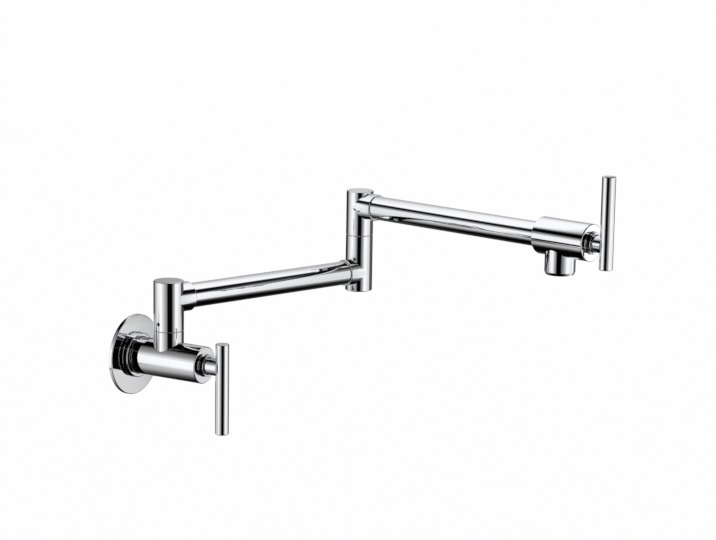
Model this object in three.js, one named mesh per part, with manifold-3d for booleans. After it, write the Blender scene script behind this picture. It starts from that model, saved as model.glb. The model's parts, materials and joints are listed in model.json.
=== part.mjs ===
// Wall mounted pot filler: a folding two-arm tap that swings out over a stove.
//
// Frame: origin on the wall's face, at the centre of the wall flange. +Z is up and
// the inlet valve's axis runs straight out of the wall, along -Y. Millimetres.
//
// How it goes together, from the wall outwards:
//   nipple and flange > inlet valve with its T handle > base swivel > lower arm
//   > elbow swivel > upper arm > outlet valve with spout, aerator and T handle.
// Each valve holds a quarter-turn cartridge with two ceramic discs. Each swivel is a
// hollow spigot with seals, held in its bore by a screw that runs in a groove.

import * as THREE from 'three';
import { mergeVertices } from 'three/addons/utils/BufferGeometryUtils.js';
import Module from 'manifold-3d';

const wasm = await Module();
wasm.setup();

// ---------------------------------------------------------------------------
// Driving dimensions, in millimetres
// ---------------------------------------------------------------------------

// Clearances
const SEAT_GAP = 0.2; // between two pieces fixed to each other
const RUN_GAP = 0.25; // around a piece that turns in its bore
const SEAL_GAP = 0.15; // between a seal ring and its groove
const OVERRUN = 1; // a cutter's length past the face that it opens

// Wall flange and its hub
const FLANGE_RADIUS = 36.25;
const FLANGE_THICKNESS = 3.4;
const FLANGE_HUB_WALL = 3.2;
const FLANGE_HUB_HEIGHT = 8.3; // hub's front face above the wall
const FLANGE_EDGE = 0.8;
const FLANGE_HUB_EDGE = 1.0;
const FLANGE_BORE_CLEARANCE = 0.4;
const GASKET_INNER_RADIUS = 23;
const GASKET_OUTER_RADIUS = 32.5;
const GASKET_THICKNESS = 1.2;

// Supply nipple, half-inch pipe size, and its seal
const NIPPLE_RADIUS = 10.4;
const NIPPLE_BORE_RADIUS = 7;
const NIPPLE_REACH = 14; // length behind the wall's face
const NIPPLE_ENGAGEMENT = 10; // length held in the valve body
const NIPPLE_SEAL_THICKNESS = 1.6;

// Inlet valve body
const INLET_BODY_RADIUS = 16.6;
const INLET_BODY_REAR = 4; // rear end above the wall
const INLET_BODY_FRONT = 78.2; // end face above the wall
const RISER_DISTANCE = 39.2; // swivel axis above the wall
const BASE_POST_RADIUS = 13.5;
const BASE_JOINT_HEIGHT = 27.15; // swivel joint above the valve's axis
const WATERWAY_RADIUS = 6.5;
const BODY_EDGE = 0.8;

// Swivel joints
const JOINT_GAP = 0.5; // between the two posts of a joint
const SPIGOT_RADIUS = 9.2;
const SPIGOT_BORE_RADIUS = 5.2;
const SPIGOT_THREAD_RADIUS = 8.5;
const SPIGOT_THREAD_LENGTH = 9.5;
const SEAL_GROOVE_DEPTH = 1.5;
const SEAL_GROOVE_WIDTH = 2.4;
const SCREW_GROOVE_DEPTH = 1.3;
const SCREW_GROOVE_WIDTH = 3;
const WASHER_THICKNESS = 0.9;
const WASHER_EDGE = 1.6; // post's rim outside the thrust washer
const SWIVEL_SCREW_RADIUS = 1.2;
const SWIVEL_SCREW_RECESS = 0.7;

// Base swivel head and the screw in its back
const BASE_HEAD_HEIGHT = 44.7;
const LOWER_ARM_RISE = 28.2; // arm axis above the base joint
const BASE_SCREW_HEIGHT = 6.8; // above the base joint
const BASE_SCREW_ANGLE = -168; // from the arm's direction, degrees
const BASE_SEALS = [12.4, 16.4]; // above the base joint
const BASE_SPIGOT_LENGTH = 18.6;
const BASE_STUB_RADIUS = 13.2;
const BASE_STUB_FACE = 21.6; // stub's mouth from the swivel axis
const BASE_SOCKET_DEPTH = 9.5;

// Arm tubes
const TUBE_RADIUS = 11;
const TUBE_WALL = 1.4;
const LOWER_ARM_LENGTH = 220.9; // swivel axis to swivel axis
const ARM_WATERWAY_RADIUS = 8.5;
const POST_CAVITY_MARGIN = 1.5; // cavity beyond the arm's waterway
const POST_CAVITY_STEP = 0.5; // upper elbow's cavity narrower than the waterway

// Elbow, lower and upper post
const ELBOW_POST_RADIUS = 12.65;
const ELBOW_POST_BELOW_ARM = 18.2;
const ELBOW_JOINT_RISE = 35.2; // elbow joint above the lower arm's axis
const UPPER_ARM_RISE = 27.75; // upper arm's axis above the elbow joint
const ELBOW_POST_ABOVE_ARM = 14.35;
const ELBOW_SCREW_DEPTH = 22; // below the elbow joint
const ELBOW_SCREW_ANGLE = -149; // from the lower arm's direction, degrees
const ELBOW_SEALS = [8, 27.2]; // below the elbow joint
const ELBOW_SPIGOT_LENGTH = 29.4;
const ELBOW_STUB_RADIUS = 12.5;
const ELBOW_LOWER_STUB_FACE = 18.5;
const ELBOW_LOWER_SOCKET_DEPTH = 7;
const ELBOW_UPPER_STUB_FACE = 21.8;
const ELBOW_UPPER_SOCKET_DEPTH = 9.5;
const POST_EDGE = 1.0;
const STUB_EDGE = 0.8;

// Outlet valve body and spout
const SPOUT_REACH = 235.9; // elbow axis to spout axis
const OUTLET_BODY_RADIUS = 16.5;
const OUTLET_BODY_BEHIND = 20.75; // spout axis to the body's rear end
const OUTLET_BODY_AHEAD = 33.75; // spout axis to the body's end face
const OUTLET_SOCKET_DEPTH = 6;
const SPOUT_RADIUS = 13.6;
const SPOUT_DROP = 32.1; // spout's mouth below the arm's axis
const SPOUT_EDGE = 1.4;
const SPOUT_BORE_RADIUS = 9;

// Aerator
const AERATOR_THREAD_RADIUS = 11.4;
const AERATOR_FLANGE_RADIUS = 12;
const AERATOR_FLANGE_THICKNESS = 1.2;
const AERATOR_HOUSING_HEIGHT = 10;
const AERATOR_WALL = 1.5;
const AERATOR_LIP = 1.1;
const AERATOR_LIP_HEIGHT = 1.5;
const AERATOR_INSERT_HEIGHT = 7.6;
const AERATOR_HOLE_RADIUS = 0.9;
const AERATOR_HOLE_RINGS = [1, 6, 12]; // holes on each ring, from the middle outwards
const AERATOR_RING_PITCH = 3.3;
const AERATOR_WASHER_THICKNESS = 2;
const AERATOR_WASHER_BORE_RADIUS = 8;

// Quarter-turn cartridge, depths from the valve body's end face
const CARTRIDGE_DEPTH = 46; // to the seat
const CARTRIDGE_RADIUS = 8.6;
const CARTRIDGE_THREAD_RADIUS = 9.8;
const CARTRIDGE_HEAD_LENGTH = 7.7;
const DISC_RADIUS = 6.6;
const DISC_THICKNESS = 3;
const DISC_PORT_RADIUS = 1.8;
const DISC_PORT_OFFSET = 3.8;
const DISC_SLOT_DEPTH = 1.2;
const SEAT_SEAL_THICKNESS = 2.2;
const SEAT_SEAL_BORE_RADIUS = 4.2;
const WINDOW_LENGTH = 7;
const WINDOW_WIDTH = 8;
const CHAMBER_MARGIN = 1;
const BODY_RING_DEPTH = 14.8; // ring between cartridge and body
const BODY_RING_GROOVE_DEPTH = 1.2;
const BODY_RING_GROOVE_WIDTH = 2.2;
const SPINDLE_RADIUS = 4.2;
const SPINDLE_RING_DEPTH = 8.2;
const SPINDLE_RING_GROOVE_DEPTH = 1.0;
const SPINDLE_RING_GROOVE_WIDTH = 1.8;
const SPINDLE_FOOT_THICKNESS = 3.4;
const SPINDLE_FOOT_WIDTH = 4.6;
const SPINDLE_FOOT_MARGIN = 1; // foot's ends inside the disc's edge
const SPLINE_RADIUS = 3.9;
const SPLINE_DEPTH = 0.35;
const SPLINE_TEETH = 16;

// Bonnet collar
const COLLAR_RADIUS = 9.7;
const COLLAR_HEIGHT = 4.5; // above the end face
const COLLAR_ENGAGEMENT = 4; // below the end face
const COLLAR_FOOT_WIDTH = 0.8;
const COLLAR_FOOT_HEIGHT = 1.1;
const COLLAR_EDGE = 0.4;
const COLLAR_CLEARANCE = 0.35; // around the handle's hub

// T handles
const HANDLE_HUB_RADIUS = 7.8;
const HANDLE_HUB_INSET = 3.5; // inner end below the valve's end face
const HANDLE_HUB_WEB = 1.5;
const HANDLE_HUB_SHORT = 2.2; // hub's outer end below the bar's axis
const HANDLE_STUD_RADIUS = 2.5;
const HANDLE_STUD_PAST_AXIS = 2.5;
const BAR_RADIUS = 6.1;
const BAR_LONG_END = 60;
const BAR_SHORT_END = 21.7;
const BAR_EDGE = 0.9;
const INLET_BAR_OFFSET = 18.7; // bar's axis above the end face
const OUTLET_BAR_OFFSET = 15.3;
const GRUB_RADIUS = 1.4;
const GRUB_OFFSET = 5.9; // above the end face
const GRUB_RECESS = 0.3;

// How the arms stand, in degrees
const LOWER_ARM_ANGLE = 71.2; // from straight out of the wall, towards +X
const UPPER_ARM_ANGLE = -82; // from the lower arm's direction

// Sides of the round pieces
const LARGE_SIDES = 32;
const MEDIUM_SIDES = 20;
const SMALL_SIDES = 12;
const RING_SIDES = 6;

const DEGREES = Math.PI / 180;

// ---------------------------------------------------------------------------
// Materials
// ---------------------------------------------------------------------------

function finish(color, roughness, metalness) {
  return new THREE.MeshStandardMaterial({ color, roughness, metalness });
}

const CHROME = finish(0xdfe1e4, 0.06, 1);
const BRASS = finish(0xb5954f, 0.35, 1);
const STEEL = finish(0x9a9c9f, 0.3, 1);
const RUBBER = finish(0x1b1b1c, 0.8, 0);
const ACETAL = finish(0xe9e9e4, 0.5, 0);
const CERAMIC = finish(0xf3f1ea, 0.2, 0);

// ---------------------------------------------------------------------------
// Shapes
// ---------------------------------------------------------------------------

// A closed geometry as a solid that can be joined and cut.
function solid(geometry) {
  geometry.deleteAttribute('normal');
  geometry.deleteAttribute('uv');
  const merged = mergeVertices(geometry, 1e-4);
  const corners = merged.index.array;
  const triangles = [];
  for (let i = 0; i < corners.length; i += 3) {
    const [a, b, c] = corners.slice(i, i + 3);
    if (a !== b && b !== c && c !== a) triangles.push(a, b, c);
  }
  return new wasm.Manifold(new wasm.Mesh({
    numProp: 3,
    vertProperties: merged.attributes.position.array,
    triVerts: new Uint32Array(triangles),
  }));
}

// A named sub-part from a solid.
function subPart(name, shape, material) {
  const { vertProperties, triVerts } = shape.getMesh();
  const geometry = new THREE.BufferGeometry();
  geometry.setAttribute('position', new THREE.BufferAttribute(vertProperties, 3));
  geometry.setIndex(new THREE.BufferAttribute(triVerts, 1));
  geometry.computeVertexNormals();
  const mesh = new THREE.Mesh(geometry, material);
  mesh.name = name;
  return mesh;
}

// A turned shape about +Z. The profile lists [radius, height] with the material on
// its left: up the outside, then down the bore.
function turned(profile, sides) {
  const points = profile.map(([radius, height]) => new THREE.Vector2(radius, height));
  return new THREE.LatheGeometry(points, sides).rotateX(90 * DEGREES);
}

// The same, with a bore, so that the profile closes on itself.
function turnedRing(profile, sides) {
  return turned([...profile, profile[0]], sides);
}

// A round bar about +Z between two heights, with its edges broken.
function roundBar(radius, low, high, sides, lowEdge = 0, highEdge = 0) {
  const profile = [[0, low], [radius - lowEdge, low]];
  if (lowEdge > 0) profile.push([radius, low + lowEdge]);
  if (highEdge > 0) profile.push([radius, high - highEdge]);
  profile.push([radius - highEdge, high], [0, high]);
  return turned(profile, sides);
}

// A plain tube or washer about +Z.
function sleeve(innerRadius, outerRadius, low, high, sides) {
  const profile = [[innerRadius, low], [outerRadius, low], [outerRadius, high], [innerRadius, high]];
  return turnedRing(profile, sides);
}

// A seal ring about +Z that fills the space between a groove and a bore.
function sealRing(grooveRadius, boreRadius, height) {
  const thickness = (boreRadius - grooveRadius) / 2 - SEAL_GAP;
  const middle = (boreRadius + grooveRadius) / 2;
  return new THREE.TorusGeometry(middle, thickness, RING_SIDES, MEDIUM_SIDES).translate(0, 0, height);
}

// Lays a shape that was made about +Z along +X, or along -Z.
const alongX = (geometry) => geometry.rotateY(90 * DEGREES);
const downwards = (geometry) => geometry.rotateX(180 * DEGREES);

// A shape about +Z, laid level and turned to a bearing counted from +X, at a height.
function radial(geometry, bearing, height) {
  return alongX(geometry).rotateZ(bearing * DEGREES).translate(0, 0, height);
}

// ---------------------------------------------------------------------------
// Wall flange and supply
// ---------------------------------------------------------------------------

// These pieces are made about +Z, with the wall's face at 0 and the room above it.
// Their group then turns +Z to -Y.

const FLANGE_BORE_RADIUS = INLET_BODY_RADIUS + FLANGE_BORE_CLEARANCE;
const FLANGE_HUB_RADIUS = FLANGE_BORE_RADIUS + FLANGE_HUB_WALL;
const FLANGE_SCREW_HEIGHT = (FLANGE_THICKNESS + FLANGE_HUB_HEIGHT) / 2;
const FLANGE_SCREW_BEARING = -90; // underneath, once the group is turned

function wallFlange() {
  const plate = turnedRing([
    [FLANGE_BORE_RADIUS, 0],
    [GASKET_INNER_RADIUS - SEAT_GAP, 0],
    [GASKET_INNER_RADIUS - SEAT_GAP, GASKET_THICKNESS + SEAT_GAP],
    [GASKET_OUTER_RADIUS + SEAT_GAP, GASKET_THICKNESS + SEAT_GAP],
    [GASKET_OUTER_RADIUS + SEAT_GAP, 0],
    [FLANGE_RADIUS, 0],
    [FLANGE_RADIUS, FLANGE_THICKNESS - FLANGE_EDGE],
    [FLANGE_RADIUS - FLANGE_EDGE, FLANGE_THICKNESS],
    [FLANGE_HUB_RADIUS, FLANGE_THICKNESS],
    [FLANGE_HUB_RADIUS, FLANGE_HUB_HEIGHT - FLANGE_HUB_EDGE],
    [FLANGE_HUB_RADIUS - FLANGE_HUB_EDGE, FLANGE_HUB_HEIGHT],
    [FLANGE_BORE_RADIUS, FLANGE_HUB_HEIGHT],
  ], LARGE_SIDES);
  const holeRadius = GRUB_RADIUS + SEAT_GAP;
  const hole = roundBar(holeRadius, INLET_BODY_RADIUS, FLANGE_HUB_RADIUS + OVERRUN, SMALL_SIDES);
  const shape = solid(plate).subtract(solid(radial(hole, FLANGE_SCREW_BEARING, FLANGE_SCREW_HEIGHT)));
  return subPart('wall_flange', shape, CHROME);
}

function flangeGrubScrew() {
  const screw = roundBar(
    GRUB_RADIUS,
    INLET_BODY_RADIUS + SEAT_GAP,
    FLANGE_HUB_RADIUS - GRUB_RECESS,
    SMALL_SIDES,
    GRUB_RECESS,
  );
  return subPart('flange_grub_screw', solid(radial(screw, FLANGE_SCREW_BEARING, FLANGE_SCREW_HEIGHT)), STEEL);
}

function flangeGasket() {
  const ring = sleeve(GASKET_INNER_RADIUS, GASKET_OUTER_RADIUS, 0, GASKET_THICKNESS, LARGE_SIDES);
  return subPart('flange_gasket', solid(ring), RUBBER);
}

function inletNipple() {
  const inner = INLET_BODY_REAR + NIPPLE_ENGAGEMENT;
  const nipple = sleeve(NIPPLE_BORE_RADIUS, NIPPLE_RADIUS, -NIPPLE_REACH, inner, MEDIUM_SIDES);
  return subPart('inlet_nipple', solid(nipple), BRASS);
}

function nippleSeal() {
  const low = INLET_BODY_REAR + NIPPLE_ENGAGEMENT + SEAT_GAP;
  const ring = sleeve(NIPPLE_BORE_RADIUS, NIPPLE_RADIUS, low, low + NIPPLE_SEAL_THICKNESS, MEDIUM_SIDES);
  return subPart('nipple_seal', solid(ring), RUBBER);
}

// ---------------------------------------------------------------------------
// Quarter-turn valve: pieces about +X, with the body's end face at x = 0
// ---------------------------------------------------------------------------

// Stations along the axis. Each piece stands on the one below it.
const CARTRIDGE_BORE_RADIUS = CARTRIDGE_RADIUS + SEAT_GAP;
const THREAD_BORE_RADIUS = CARTRIDGE_THREAD_RADIUS + SEAT_GAP;
const HEAD_TOP = -COLLAR_ENGAGEMENT - SEAT_GAP;
const HEAD_BOTTOM = HEAD_TOP - CARTRIDGE_HEAD_LENGTH;
const SEAT = -CARTRIDGE_DEPTH;
const SEAT_SEAL_TOP = SEAT + SEAT_GAP + SEAT_SEAL_THICKNESS;
const FIXED_DISC_BOTTOM = SEAT_SEAL_TOP + SEAT_GAP;
const FIXED_DISC_TOP = FIXED_DISC_BOTTOM + DISC_THICKNESS;
const MOVING_DISC_BOTTOM = FIXED_DISC_TOP + SEAT_GAP;
const MOVING_DISC_TOP = MOVING_DISC_BOTTOM + DISC_THICKNESS;
const FOOT_BOTTOM = MOVING_DISC_TOP - DISC_SLOT_DEPTH + SEAT_GAP;
const FOOT_TOP = FOOT_BOTTOM + SPINDLE_FOOT_THICKNESS;
const CHAMBER_RADIUS = DISC_RADIUS + RUN_GAP;
const WINDOW_BOTTOM = MOVING_DISC_TOP + SEAT_GAP;
const CHAMBER_TOP = Math.max(WINDOW_BOTTOM + WINDOW_LENGTH, FOOT_TOP) + CHAMBER_MARGIN;
const SPINDLE_BORE_RADIUS = SPINDLE_RADIUS + RUN_GAP;
const SPINDLE_RING_RADIUS = SPINDLE_RADIUS - SPINDLE_RING_GROOVE_DEPTH;
const BODY_RING_RADIUS = CARTRIDGE_RADIUS - BODY_RING_GROOVE_DEPTH;

// The stepped bore that takes the cartridge, open through the end face.
function cartridgeBore() {
  return solid(alongX(turned([
    [0, SEAT],
    [CARTRIDGE_BORE_RADIUS, SEAT],
    [CARTRIDGE_BORE_RADIUS, HEAD_BOTTOM - SEAT_GAP],
    [THREAD_BORE_RADIUS, HEAD_BOTTOM - SEAT_GAP],
    [THREAD_BORE_RADIUS, OVERRUN],
    [0, OVERRUN],
  ], MEDIUM_SIDES)));
}

function cartridgeHousing(name) {
  const ringLow = -BODY_RING_DEPTH - BODY_RING_GROOVE_WIDTH / 2;
  const ringHigh = -BODY_RING_DEPTH + BODY_RING_GROOVE_WIDTH / 2;
  const shell = alongX(turnedRing([
    [CHAMBER_RADIUS, SEAT + SEAT_GAP],
    [CARTRIDGE_RADIUS, SEAT + SEAT_GAP],
    [CARTRIDGE_RADIUS, ringLow],
    [BODY_RING_RADIUS, ringLow],
    [BODY_RING_RADIUS, ringHigh],
    [CARTRIDGE_RADIUS, ringHigh],
    [CARTRIDGE_RADIUS, HEAD_BOTTOM],
    [CARTRIDGE_THREAD_RADIUS, HEAD_BOTTOM],
    [CARTRIDGE_THREAD_RADIUS, HEAD_TOP],
    [SPINDLE_BORE_RADIUS, HEAD_TOP],
    [SPINDLE_BORE_RADIUS, CHAMBER_TOP],
    [CHAMBER_RADIUS, CHAMBER_TOP],
  ], MEDIUM_SIDES));
  const windows = new THREE.BoxGeometry(WINDOW_LENGTH, WINDOW_WIDTH, 2 * (CARTRIDGE_RADIUS + OVERRUN));
  windows.translate(WINDOW_BOTTOM + WINDOW_LENGTH / 2, 0, 0);
  return subPart(name, solid(shell).subtract(solid(windows)), BRASS);
}

function seatSeal(name) {
  const ring = sleeve(SEAT_SEAL_BORE_RADIUS, DISC_RADIUS, SEAT + SEAT_GAP, SEAT_SEAL_TOP, MEDIUM_SIDES);
  return subPart(name, solid(alongX(ring)), RUBBER);
}

// Two ports through a disc, on a line across it.
function discPorts(low, high, across) {
  const ports = [1, -1].map((side) => {
    const port = roundBar(DISC_PORT_RADIUS, low - OVERRUN, high + OVERRUN, SMALL_SIDES);
    const offset = side * DISC_PORT_OFFSET;
    port.translate(across === 'x' ? offset : 0, across === 'y' ? offset : 0, 0);
    return solid(alongX(port));
  });
  return ports[0].add(ports[1]);
}

function fixedDisc(name) {
  const disc = solid(alongX(roundBar(DISC_RADIUS, FIXED_DISC_BOTTOM, FIXED_DISC_TOP, MEDIUM_SIDES)));
  return subPart(name, disc.subtract(discPorts(FIXED_DISC_BOTTOM, FIXED_DISC_TOP, 'x')), CERAMIC);
}

// The moving disc's ports stand a quarter turn from the fixed disc's: shut.
function movingDisc(name) {
  const disc = solid(alongX(roundBar(DISC_RADIUS, MOVING_DISC_BOTTOM, MOVING_DISC_TOP, MEDIUM_SIDES)));
  const slotWidth = SPINDLE_FOOT_WIDTH + 2 * SEAT_GAP;
  const slot = new THREE.BoxGeometry(2 * DISC_SLOT_DEPTH, slotWidth, 2 * (DISC_RADIUS + OVERRUN));
  slot.translate(MOVING_DISC_TOP, 0, 0);
  const ports = discPorts(MOVING_DISC_BOTTOM, MOVING_DISC_TOP, 'y');
  return subPart(name, disc.subtract(ports).subtract(solid(slot)), CERAMIC);
}

function bodyRing(name) {
  const ring = sealRing(BODY_RING_RADIUS, CARTRIDGE_BORE_RADIUS, -BODY_RING_DEPTH);
  return subPart(name, solid(alongX(ring)), RUBBER);
}

function spindleRing(name) {
  const ring = sealRing(SPINDLE_RING_RADIUS, SPINDLE_BORE_RADIUS, -SPINDLE_RING_DEPTH);
  return subPart(name, solid(alongX(ring)), RUBBER);
}

// The collar that closes the bore. The handle's hub turns inside it.
function bonnetCollar(name) {
  const bore = HANDLE_HUB_RADIUS + COLLAR_CLEARANCE;
  return subPart(name, solid(alongX(turnedRing([
    [bore, -COLLAR_ENGAGEMENT],
    [CARTRIDGE_THREAD_RADIUS, -COLLAR_ENGAGEMENT],
    [CARTRIDGE_THREAD_RADIUS, SEAT_GAP],
    [COLLAR_RADIUS + COLLAR_FOOT_WIDTH, SEAT_GAP],
    [COLLAR_RADIUS, COLLAR_FOOT_HEIGHT],
    [COLLAR_RADIUS, COLLAR_HEIGHT - COLLAR_EDGE],
    [COLLAR_RADIUS - COLLAR_EDGE, COLLAR_HEIGHT],
    [bore, COLLAR_HEIGHT],
  ], LARGE_SIDES))), CHROME);
}

// ---------------------------------------------------------------------------
// T handle: pieces that turn together about +X
// ---------------------------------------------------------------------------

// The bottom of the hub's socket, over the web that carries the bar.
const socketBottom = (barOffset) => barOffset - BAR_RADIUS - HANDLE_HUB_WEB;

// The splined end of the spindle, as one outline with straight flanks.
function spline(low, high) {
  const outline = new THREE.Shape();
  for (let i = 0; i < 2 * SPLINE_TEETH; i += 1) {
    const radius = i % 2 ? SPLINE_RADIUS - SPLINE_DEPTH : SPLINE_RADIUS;
    const angle = (i * Math.PI) / SPLINE_TEETH;
    const corner = [radius * Math.cos(angle), radius * Math.sin(angle)];
    if (i === 0) outline.moveTo(...corner);
    else outline.lineTo(...corner);
  }
  const bar = new THREE.ExtrudeGeometry(outline, { depth: high - low, bevelEnabled: false });
  return bar.translate(0, 0, low);
}

function spindle(name, barOffset) {
  const splineBottom = -HANDLE_HUB_INSET;
  const ringLow = -SPINDLE_RING_DEPTH - SPINDLE_RING_GROOVE_WIDTH / 2;
  const ringHigh = -SPINDLE_RING_DEPTH + SPINDLE_RING_GROOVE_WIDTH / 2;
  const shaft = alongX(turned([
    [0, FOOT_BOTTOM],
    [SPINDLE_RADIUS, FOOT_BOTTOM],
    [SPINDLE_RADIUS, ringLow],
    [SPINDLE_RING_RADIUS, ringLow],
    [SPINDLE_RING_RADIUS, ringHigh],
    [SPINDLE_RADIUS, ringHigh],
    [SPINDLE_RADIUS, splineBottom - SEAT_GAP],
    [0, splineBottom - SEAT_GAP],
  ], MEDIUM_SIDES));
  const teeth = alongX(spline(splineBottom - OVERRUN, socketBottom(barOffset) - SEAT_GAP));
  const footLength = 2 * (DISC_RADIUS - SPINDLE_FOOT_MARGIN);
  const foot = new THREE.BoxGeometry(SPINDLE_FOOT_THICKNESS, SPINDLE_FOOT_WIDTH, footLength);
  foot.translate((FOOT_BOTTOM + FOOT_TOP) / 2, 0, 0);
  // The round shaft starts above the slot, so that only the foot enters the disc.
  const slotRelief = new THREE.BoxGeometry(DISC_SLOT_DEPTH, 4 * SPINDLE_RADIUS, 4 * SPINDLE_RADIUS);
  slotRelief.translate(FOOT_BOTTOM + DISC_SLOT_DEPTH / 2, 0, 0);
  const shape = solid(shaft).subtract(solid(slotRelief)).add(solid(foot)).add(solid(teeth));
  return subPart(name, shape, BRASS);
}

// The bar's outline as a cutter or as the bar itself, about +Z at the bar's place.
function barAt(barOffset, radius, low, high, edge = 0) {
  return roundBar(radius, low, high, MEDIUM_SIDES, edge, edge).translate(barOffset, 0, 0);
}

// The hub: socket for the spline, saddle for the bar, and a stud that the bar screws onto.
function handleHub(name, barOffset) {
  const hubEnd = barOffset - HANDLE_HUB_SHORT;
  const post = alongX(roundBar(HANDLE_HUB_RADIUS, -HANDLE_HUB_INSET, hubEnd, LARGE_SIDES));
  const saddle = barAt(barOffset, BAR_RADIUS + SEAT_GAP, -2 * HANDLE_HUB_RADIUS, 2 * HANDLE_HUB_RADIUS);
  const socketLow = -HANDLE_HUB_INSET - OVERRUN;
  const socket = alongX(roundBar(SPLINE_RADIUS + SEAT_GAP, socketLow, socketBottom(barOffset), SMALL_SIDES));
  const studLow = barOffset - BAR_RADIUS - HANDLE_HUB_WEB / 2;
  const stud = alongX(roundBar(HANDLE_STUD_RADIUS, studLow, barOffset + HANDLE_STUD_PAST_AXIS, SMALL_SIDES));
  const screwHole = downwards(roundBar(GRUB_RADIUS + SEAT_GAP, 0, HANDLE_HUB_RADIUS + OVERRUN, SMALL_SIDES));
  screwHole.translate(GRUB_OFFSET, 0, 0);
  const shape = solid(post)
    .subtract(solid(saddle))
    .subtract(solid(socket))
    .add(solid(stud))
    .subtract(solid(screwHole));
  return subPart(name, shape, CHROME);
}

function handleGrubScrew(name) {
  const tip = SPLINE_RADIUS + SEAT_GAP;
  const head = HANDLE_HUB_RADIUS - GRUB_RECESS;
  const screw = downwards(roundBar(GRUB_RADIUS, tip, head, SMALL_SIDES, GRUB_RECESS));
  return subPart(name, solid(screw.translate(GRUB_OFFSET, 0, 0)), STEEL);
}

function handleBar(name, barOffset, longEndUp) {
  const low = longEndUp ? -BAR_SHORT_END : -BAR_LONG_END;
  const high = longEndUp ? BAR_LONG_END : BAR_SHORT_END;
  const bar = barAt(barOffset, BAR_RADIUS, low, high, BAR_EDGE);
  const holeLow = barOffset - 2 * BAR_RADIUS;
  const holeHigh = barOffset + HANDLE_STUD_PAST_AXIS + SEAT_GAP;
  const hole = alongX(roundBar(HANDLE_STUD_RADIUS + SEAT_GAP, holeLow, holeHigh, SMALL_SIDES));
  return subPart(name, solid(bar).subtract(solid(hole)), CHROME);
}

// Everything that turns with a handle, from the ceramic disc to the bar.
function handle(prefix, barOffset, longEndUp) {
  const group = new THREE.Group();
  group.add(
    movingDisc(`${prefix}_moving_disc`),
    spindle(`${prefix}_spindle`, barOffset),
    spindleRing(`${prefix}_spindle_ring`),
    handleHub(`${prefix}_handle_hub`, barOffset),
    handleGrubScrew(`${prefix}_handle_grub_screw`),
    handleBar(`${prefix}_handle_bar`, barOffset, longEndUp),
  );
  return group;
}

// The still pieces of a cartridge, and the collar over it.
function cartridge(prefix) {
  const group = new THREE.Group();
  group.add(
    cartridgeHousing(`${prefix}_cartridge_housing`),
    seatSeal(`${prefix}_seat_seal`),
    fixedDisc(`${prefix}_fixed_disc`),
    bodyRing(`${prefix}_cartridge_ring`),
    bonnetCollar(`${prefix}_bonnet_collar`),
  );
  return group;
}

// ---------------------------------------------------------------------------
// Swivel joints: pieces about +Z, with the joint at z = 0 and the spigot upwards
// ---------------------------------------------------------------------------

const SWIVEL_BORE_RADIUS = SPIGOT_RADIUS + RUN_GAP;
const SPIGOT_THREAD_BORE_RADIUS = SPIGOT_THREAD_RADIUS + SEAT_GAP;
const SEAL_GROOVE_RADIUS = SPIGOT_RADIUS - SEAL_GROOVE_DEPTH;
const SCREW_GROOVE_RADIUS = SPIGOT_RADIUS - SCREW_GROOVE_DEPTH;
const WASHER_INNER_RADIUS = SWIVEL_BORE_RADIUS + SEAT_GAP;
const WASHER_RECESS = WASHER_THICKNESS + 2 * SEAT_GAP - JOINT_GAP;

// Adds a groove to the outside of a profile that runs upwards.
function groove(profile, radius, floorRadius, middle, width) {
  const low = middle - width / 2;
  const high = middle + width / 2;
  profile.push([radius, low], [floorRadius, low], [floorRadius, high], [radius, high]);
}

// The hollow spigot: threaded below the joint, grooved for seals and screw above it.
function spigot(length, screwAt, seals) {
  const shoulder = SEAT_GAP - JOINT_GAP / 2;
  const profile = [
    [SPIGOT_BORE_RADIUS, -SPIGOT_THREAD_LENGTH],
    [SPIGOT_THREAD_RADIUS, -SPIGOT_THREAD_LENGTH],
    [SPIGOT_THREAD_RADIUS, shoulder],
    [SPIGOT_RADIUS, shoulder],
  ];
  const grooves = [
    { at: screwAt, floor: SCREW_GROOVE_RADIUS, width: SCREW_GROOVE_WIDTH },
    ...seals.map((at) => ({ at, floor: SEAL_GROOVE_RADIUS, width: SEAL_GROOVE_WIDTH })),
  ].sort((a, b) => a.at - b.at);
  for (const { at, floor, width } of grooves) groove(profile, SPIGOT_RADIUS, floor, at, width);
  profile.push([SPIGOT_RADIUS, length], [SPIGOT_BORE_RADIUS, length]);
  return turnedRing(profile, MEDIUM_SIDES);
}

// The bore in the post that holds the spigot's thread, open at the joint.
function spigotThreadBore() {
  return roundBar(SPIGOT_THREAD_BORE_RADIUS, -SPIGOT_THREAD_LENGTH - SEAT_GAP, OVERRUN, MEDIUM_SIDES);
}

function swivelSeal(at) {
  return sealRing(SEAL_GROOVE_RADIUS, SWIVEL_BORE_RADIUS, at);
}

// The thrust washer lies in a recess in the lower post, under the upper post's face.
function thrustWasher(name, postRadius) {
  const high = JOINT_GAP / 2 - SEAT_GAP;
  const low = high - WASHER_THICKNESS;
  const washer = sleeve(WASHER_INNER_RADIUS, postRadius - WASHER_EDGE, low, high, MEDIUM_SIDES);
  return subPart(name, solid(washer), ACETAL);
}

function washerRecess(postRadius, innerRadius) {
  const outerRadius = postRadius - WASHER_EDGE + SEAT_GAP;
  return sleeve(innerRadius, outerRadius, -JOINT_GAP / 2 - WASHER_RECESS, OVERRUN, MEDIUM_SIDES);
}

// The retaining screw, level, on a bearing, with its tip in the spigot's groove.
function retainingScrew(name, postRadius, bearing, height) {
  const tip = SCREW_GROOVE_RADIUS + RUN_GAP;
  const screw = roundBar(SWIVEL_SCREW_RADIUS, tip, postRadius - SWIVEL_SCREW_RECESS, SMALL_SIDES);
  return subPart(name, solid(radial(screw, bearing, height)), STEEL);
}

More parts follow.
